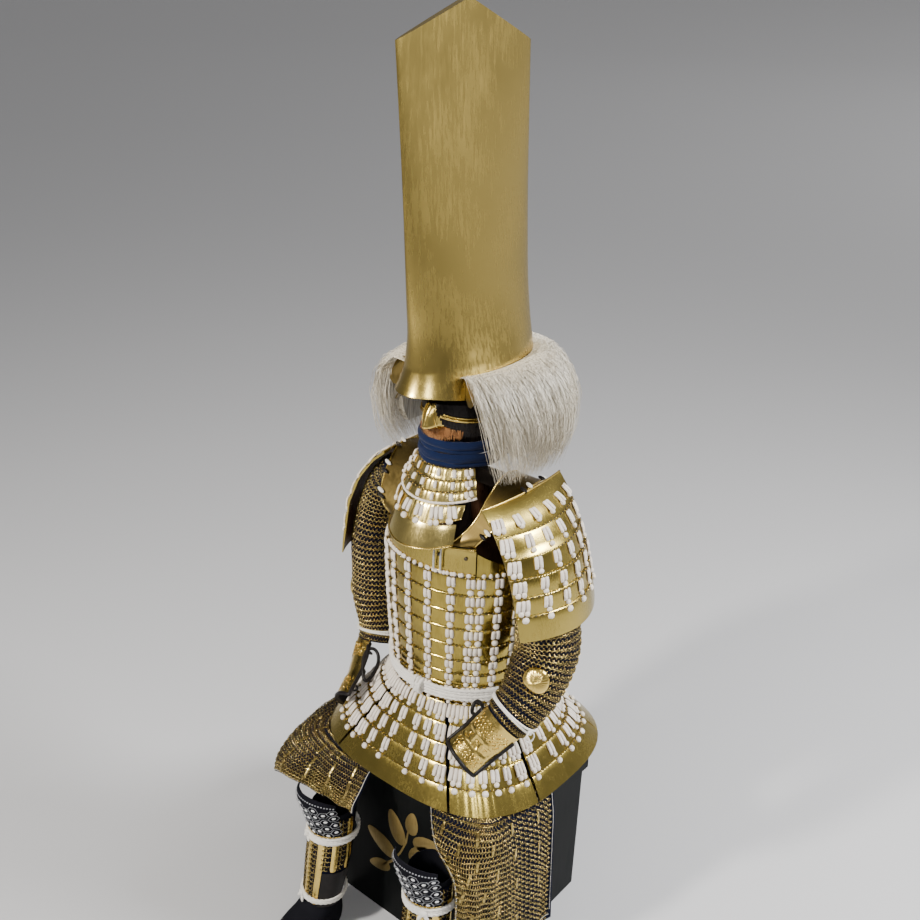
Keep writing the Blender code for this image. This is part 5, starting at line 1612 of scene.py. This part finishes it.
for side in (-1, 1):
    columns = np.linspace(30 + side * 9, 30 + side * 29, 40)
    rows = 6.0 + 5.0 * np.sin(np.linspace(0.2, 1.9, 40))
    ridge = frames_on(mask_outer, rows, columns, shift=(0, 0, 0.0016))
    shapes.append(rod(*path_of(ridge), 0.0030))
    line, outs = path_of(ridge[4:])
    shapes.append(rod([p + Vector((0, 0, 0.0052)) for p in line], outs, 0.0017))
    border = frames_on(mask_outer, np.linspace(0.5, 20.5, 30), 30 + side * np.linspace(3.6, 9.2, 30),
                       shift=(0, 0, 0.0012))
    shapes.append(rod(*path_of(border), 0.0016))
    # Nostrils: small dark lumps sunk into the nose, painted shade in place of open nostril holes.
    painted_nostril_shade = frames_on(mask_outer, 16.6, 30 + side * 1.7, shift=(0, 0, -0.0006))
    shapes.append(stamped(ball_template(0.0036, 0.0024, 0.0024), painted_nostril_shade, 1))
lips = frames_on(mask_outer, 22.5 + 0.6 * np.cos(np.linspace(-2, 2, 30)), np.linspace(23, 37, 30),
                 shift=(0, 0, 0.0010))
shapes.append(rod(*path_of(lips), 0.0022))
add_shapes("mask_trim", shapes, [splint_gold, bead_dark])
bristle = woven_finish("bristle", (0.18, 0.065, 0.016), (0.44, 0.20, 0.06), threads=120.0, rough=0.7)


def strands(paths, half):
    """Thin three-sided strands that taper along their paths, as triangles."""
    points = []
    faces = []
    for path in paths:
        base = len(points)
        last = len(path) - 1
        for step, place in enumerate(path):
            along = (path[min(step + 1, last)] - path[max(step - 1, 0)]).normalized()
            side = along.cross(Vector((0.3, 0.2, 0.9))).normalized()
            other = along.cross(side)
            size = half * (1.0 - 0.75 * (step / last) ** 2)
            for k in range(3):
                swing = 2 * math.pi * k / 3
                points.append(place + side * (size * math.cos(swing)) + other * (size * math.sin(swing)))
            if step:
                a = base + 3 * step
                for k in range(3):
                    m = (k + 1) % 3
                    faces.append((a - 3 + k, a + k, a + m, a - 3 + m))
        faces.append((base, base + 1, base + 2))
        faces.append((len(points) - 1, len(points) - 2, len(points) - 3))
    return points, faces


draw = random.Random(3)
bristles = []
for _ in range(1100):
    row = draw.uniform(17.5, 29.0)
    column = draw.uniform(11.0, 49.0)
    reach = ((row - 22.5) / 5.5) ** 2 + ((column - 30.0) / 18.5) ** 2
    if reach > 1.0 or (abs(row - 22.0) < 1.5 and abs(column - 30.0) < 7):
        continue
    root = frames_on(mask_outer, row, column)[0]
    start = Vector(root[:3, 3])
    out = Vector(root[:3, 2])
    fall = Vector((draw.uniform(-0.3, 0.3), 0, -1.0))
    length = draw.uniform(0.007, 0.012)
    bristles.append([start, start + (out * 0.55 + fall * 0.3) * length * 0.5,
                     start + (out * 0.55 + fall * 0.9) * length])
add_piece("mask_bristles", *strands(bristles, 0.0006), [bristle], "brown_hair", ["mask_beard"])


# Scarf
# A folded navy cloth wound twice round the throat over the lower edge of the mask.
SCARF = (("scarf_upper", 1.166, 1.1408, 0.0070), ("scarf_lower", 1.1406, 1.114, 0.0080))
SCARF_WALL = 0.0050
scarf_cloth = woven_finish("scarf_cloth", (0.001, 0.004, 0.018), (0.004, 0.013, 0.060), threads=200.0,
                           uneven=0.5, gloss=0.15)
for name, top, bottom, lift in SCARF:
    grid = []
    folds = []
    for i, share in enumerate(spread(0.0, 1.0, 15)):
        z = blend(top, bottom, share)
        half, depth, _ = from_table(MASK, max(z, MASK[-1][0]))
        reach = SCARF_WALL + 0.0030 + 0.004 * math.sin(math.pi * share) + lift * 0.3
        grid.append([oval(max(half, 0.0700) + reach, max(depth, 0.0830) + reach, BODY_Y, z, 3.75 * j)
                     for j in range(96)])
        folds.append([0.0030 * noise.noise(Vector((2.2 * math.cos(j * 0.0654), 2.2 * math.sin(j * 0.0654),
                                                   z * 130.0)))
                      - 0.0034 * math.exp(-((share - 0.5 - 0.22 * math.sin(j * 0.0654 + 1.1)) / 0.09) ** 2)
                      for j in range(96)])
    folded = moved(grid, folds, closed=True)
    wind = add_wall(name + "_cloth", folded, SCARF_WALL - 0.002, [scarf_cloth], "blue_scarf", [name],
                    closed=True)


# Throat lames
# Gilt lames hang from the mask over the chest. The upper three are ribbed and closely
# laced, the next is scalloped and the lowest is plain with a bright rim.
BIB_TURN = -3.0
bib_gold = worn_finish("bib_gold", (0.80, 0.63, 0.22), (0.50, 0.37, 0.10), 0.16, 0.30, metal=1.0,
                       wear=0.6, patch=26.0, fine=300.0, bump=0.12)
BIBS = (
    ("bib_upper", 1.1118, 1.054, 0.079, 0.093, 0.106, 0.128, 60.0, 3),
    ("bib_laced", 1.0524, 1.020, 0.104, 0.1270, 0.108, 0.147, 50.0, 1),
    ("bib_plain", 1.0191, 0.974, 0.107, 0.1470, 0.117, 0.168, 46.0, 1),
)
for name, top, bottom, half_top, deep_top, half_low, deep_low, reach, count in BIBS:
    def bib_place(angle, share, top=top, bottom=bottom, half_top=half_top, deep_top=deep_top,
                  half_low=half_low, deep_low=deep_low, reach=reach):
        curl = 0.010 * share * (abs(angle - BIB_TURN) / reach) ** 2
        return oval(blend(half_top, half_low, share), blend(deep_top, deep_low, share), BODY_Y,
                    blend(top, bottom, share) + curl, angle)
    grid = laced_panel(name + "_lames", bib_place, spread(BIB_TURN - reach, BIB_TURN + reach, 61),
                       (1.0,) * count, top - bottom, [bib_gold, plate_back], [name],
                       wave=0.0 if name == "bib_plain" else 0.0013)
    shapes = []
    low = grid[-1]
    outs = outward(low)
    if name == "bib_upper":
        shapes += lacing(grid, (0.06, 0.94), range(3), reach=(0.1, 0.7))
        shapes += lacing(grid, (0.2, 0.36, 0.5, 0.64, 0.8), range(3), strips=1, knots=0, reach=(0.1, 0.8))
        shapes += lame_beads(grid, range(3))
        shapes.append(rope(low, outs, 0.0024, 0.008, closed=False))
    elif name == "bib_laced":
        shapes += lacing(grid, (0.10, 0.26, 0.42, 0.58, 0.90), range(1), reach=(0.12, 0.80), knot_at=1.0)
        shapes += lacing(grid, (0.76,), range(1), strips=3, knots=2, reach=(0.12, 0.80), knot_at=1.0)
        shapes.append(rod(low, outs, 0.0013, 1))
    else:
        shapes.append(rod(low, outs, 0.0020, 1))
    add_shapes(name + "_lacing", shapes, [silk_lace, splint_gold, bead_dark])


# Helmet
# A tall court-cap helmet: one smooth shell of iron and papier-mache under black
# lacquer and gold leaf, with soft scratches near the brow and a turned rim.
HELMET_SIDES = 88
HELMET_WALL = 0.0025
HELMET_PEAK = 0.064
HELMET_PEAK_Y = -0.065
RIM_SAG = 0.010
RIM_LIFT = 0.006
RIM_ROWS = 8

# Helmet sections from the tip down: height, front edge y, back edge y, half width
HELMET = (
    (1.844, -0.232, 0.112, 0.007),
    (1.720, -0.220, 0.119, 0.014),
    (1.600, -0.209, 0.125, 0.024),
    (1.500, -0.200, 0.130, 0.036),
    (1.430, -0.193, 0.134, 0.045),
    (1.370, -0.185, 0.138, 0.058),
    (1.320, -0.184, 0.141, 0.073),
    (1.300, -0.187, 0.142, 0.080),
    (1.262, -0.200, 0.146, 0.092),
)


def helmet_section(row, inset=0.0):
    """One level ring of the helmet, or of its inside."""
    height, front, back, half = row
    length = (back - front) / 2 - inset
    return [oval(half - inset, length, (front + back) / 2, height, 360 * j / HELMET_SIDES)
            for j in range(HELMET_SIDES)]


def gable(ring, front, back):
    """Raise a ring's points to the cap's two sloping top edges."""
    for point in ring:
        reach = (HELMET_PEAK_Y - front) if point.y < HELMET_PEAK_Y else (back - HELMET_PEAK_Y)
        point.z += HELMET_PEAK * max(0.0, 1.0 - abs(point.y - HELMET_PEAK_Y) / reach)


helmet_leaf = worn_finish("helmet_leaf", (0.53, 0.39, 0.110), (0.46, 0.33, 0.090), 0.22, 0.34,
                          metal=1.0, wear=0.3, patch=9.0, fine=170.0, bump=0.03)
helmet_lining = worn_finish("helmet_lining", (0.035, 0.014, 0.008), (0.06, 0.025, 0.012), 0.3, 0.5)
helmet_rows = smooth_row([Vector(row) for row in HELMET], 64)
helmet_rows[0] = Vector(HELMET[0])
helmet_outside = [helmet_section(row) for row in helmet_rows]
helmet_inside = [helmet_section(row, HELMET_WALL) for row in helmet_rows]
for point in helmet_inside[0]:
    point.z -= 3 * HELMET_WALL
for ring in (helmet_outside[0], helmet_inside[0]):
    gable(ring, HELMET[0][1], HELMET[0][2])
for step in range(RIM_ROWS):
    share = 1.0 - step / RIM_ROWS
    for ring in (helmet_outside[-1 - step], helmet_inside[-1 - step]):
        for point in ring:
            point.z -= share ** 2 * RIM_SAG * max(0.0, 1.0 - abs(point.y + 0.03) / 0.15)
            if point.y < -0.10:
                point.z += share ** 2 * RIM_LIFT * (-0.10 - point.y) / 0.10
add_wall("gold_helmet", helmet_outside, HELMET_WALL, [helmet_leaf, helmet_lining], "gold_leaf",
         ["helmet"], closed=True, capped="top", inner=helmet_inside)


# Neck guard and its turned-back ends
# Lacquered lames hang from the bowl under the hair. At each temple the top lame turns
# back into a round lobe in duller gold.
paint(dull_gold, "neck_guard", "turned_back_end_left", "turned_back_end_right")


# Hair
# Long white horse or yak hair is set in a band round the bowl from temple to temple.
# It springs out over the neck guard and falls to the shoulders in fine loose locks.
HAIR_FROM = 52.0
HAIR_TO = 308.0
STRANDS_A_SIDE = 2150
STRAND_STEPS = 6
STRAND_HALF = 0.00052
LOCKS = 120
SWEEP_BACK = 22.0

# Strand course from root to tip: height, reach of the inner and of the outer strands
HAIR_COURSE = (
    (1.300, -0.009, -0.007),
    (1.308, 0.006, 0.020),
    (1.297, 0.018, 0.052),
    (1.262, 0.028, 0.080),
    (1.222, 0.036, 0.093),
    (1.175, 0.039, 0.092),
    (1.135, 0.037, 0.080),
    (1.100, 0.036, 0.060),
)


def hair_finish(name, shade, light):
    """Hair with fine streaks of tone drawn down its length."""
    material, shader = new_material(name)
    tree = material.node_tree
    spot = node_of(tree, "ShaderNodeTexCoord")
    stretch = node_of(tree, "ShaderNodeMapping")
    stretch.inputs["Scale"].default_value = (1.0, 1.0, 0.05)
    streak = node_of(tree, "ShaderNodeTexNoise", Scale=260.0, Detail=3.0)
    contrast = node_of(tree, "ShaderNodeMapRange")
    contrast.inputs["From Min"].default_value = 0.34
    contrast.inputs["From Max"].default_value = 0.62
    tone = node_of(tree, "ShaderNodeMix", data_type="RGBA")
    tone.inputs[6].default_value = (*shade, 1.0)
    tone.inputs[7].default_value = (*light, 1.0)
    tree.links.new(spot.outputs["Object"], stretch.inputs["Vector"])
    tree.links.new(stretch.outputs["Vector"], streak.inputs["Vector"])
    tree.links.new(streak.outputs["Fac"], contrast.inputs["Value"])
    tree.links.new(contrast.outputs["Result"], tone.inputs[0])
    tree.links.new(tone.outputs[2], shader.inputs["Base Color"])
    shader.inputs["Roughness"].default_value = 0.48
    return material


white_hair = hair_finish("white_hair", (0.29, 0.245, 0.17), (0.71, 0.655, 0.54))
hair_shadow = hair_finish("hair_shadow", (0.26, 0.23, 0.17), (0.58, 0.53, 0.43))


def bowl_point(angle, reach, height):
    """Point at a distance out from the bowl's lower edge, at any height."""
    front, back, half = from_table(HELMET, 1.262)
    return oval(half + reach, (back - front) / 2 + reach * 0.8, (front + back) / 2, height, angle)


def hair_side(name, start, end, seed):
    """Thousands of thin strands that fall in loose locks, swept back from the face."""
    draw = random.Random(seed)
    locks = [(draw.uniform(start, end), draw.uniform(-4.0, 4.0), draw.uniform(-0.014, 0.014))
             for _ in range(LOCKS)]
    course = smooth_row([Vector(row) for row in HAIR_COURSE], 24)
    backward = 1 if end <= 180.0 else -1
    paths = []
    for _ in range(STRANDS_A_SIDE):
        angle = draw.uniform(start, end)
        layer = draw.random() ** 0.5
        lock = min(locks, key=lambda item: abs(item[0] - angle))
        cut = 1.0 - 0.42 * draw.random() ** 1.8
        drift = draw.gauss(0.0, 3.0)
        fluff = draw.gauss(0.0, 0.0045)
        swing = draw.uniform(0.0, 2 * math.pi)
        wave = draw.uniform(0.2, 1.3)
        from_end = min(angle - HAIR_FROM, HAIR_TO - angle)
        full = 0.62 + 0.38 * min(1.0, max(0.0, from_end) / 30.0)
        sweep = backward * SWEEP_BACK * max(0.0, 1.0 - from_end / 55.0)
        path = []
        for step in range(STRAND_STEPS):
            share = step / (STRAND_STEPS - 1)
            height, near, far = course[int(share * cut * 23)]
            reach = blend(near, far, layer * full) + (fluff + lock[2] * layer) * share
            turn = angle + (drift + sweep * share) * share + wave * math.sin(swing + 5.0 * share)
            turn += (lock[0] - angle + lock[1]) * 0.5 * share ** 1.5
            path.append(bowl_point(turn, reach, height - 0.012 * (1.0 - layer) * share))
        paths.append(path)
    return add_piece(name, *strands(paths, STRAND_HALF), [white_hair], "white_hair")


hair_left = hair_side("hair_left", HAIR_FROM, 180.0, 11)
hair_side("hair_right", 180.0, HAIR_TO, 12)
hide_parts("hair_mane")

# Under-hair: height, inner reach, outer reach
UNDER_HAIR = (
    (1.292, -0.005, -0.002),
    (1.294, 0.006, 0.018),
    (1.270, 0.014, 0.036),
    (1.222, 0.030, 0.052),
    (1.175, 0.034, 0.052),
    (1.145, 0.036, 0.046),
)


def under_hair():
    """The dense inner hair as one soft, ridged mass under the loose strands."""
    draw = random.Random(5)
    rings = []
    for angle in spread(HAIR_FROM + 16.0, HAIR_TO - 16.0, 90):
        from_end = min(angle - HAIR_FROM, HAIR_TO - angle)
        full = 0.50 + 0.50 * min(1.0, from_end / 36.0)
        sweep = math.copysign(SWEEP_BACK * max(0.0, 1.0 - from_end / 55.0), 180.0 - angle)
        ridge = draw.uniform(-0.003, 0.003)
        outer = []
        inner = []
        for k, (height, near, far) in enumerate(UNDER_HAIR):
            turn = angle + sweep * (k / 5) ** 2
            outer.append(bowl_point(turn, blend(near, far, full) + ridge * min(1.0, k / 2), height))
            inner.append(bowl_point(turn, near, height))
        rings.append(outer + inner[::-1])
    width = len(rings[0])
    faces = ring_faces(len(rings), width)
    size = len(rings) * width
    faces.append(tuple(range(width)))
    faces.append(tuple(range(size - 1, size - width - 1, -1)))
    return add_piece("hair_under", [p for ring in rings for p in ring], faces, [hair_shadow],
                     "white_hair")


under_hair()
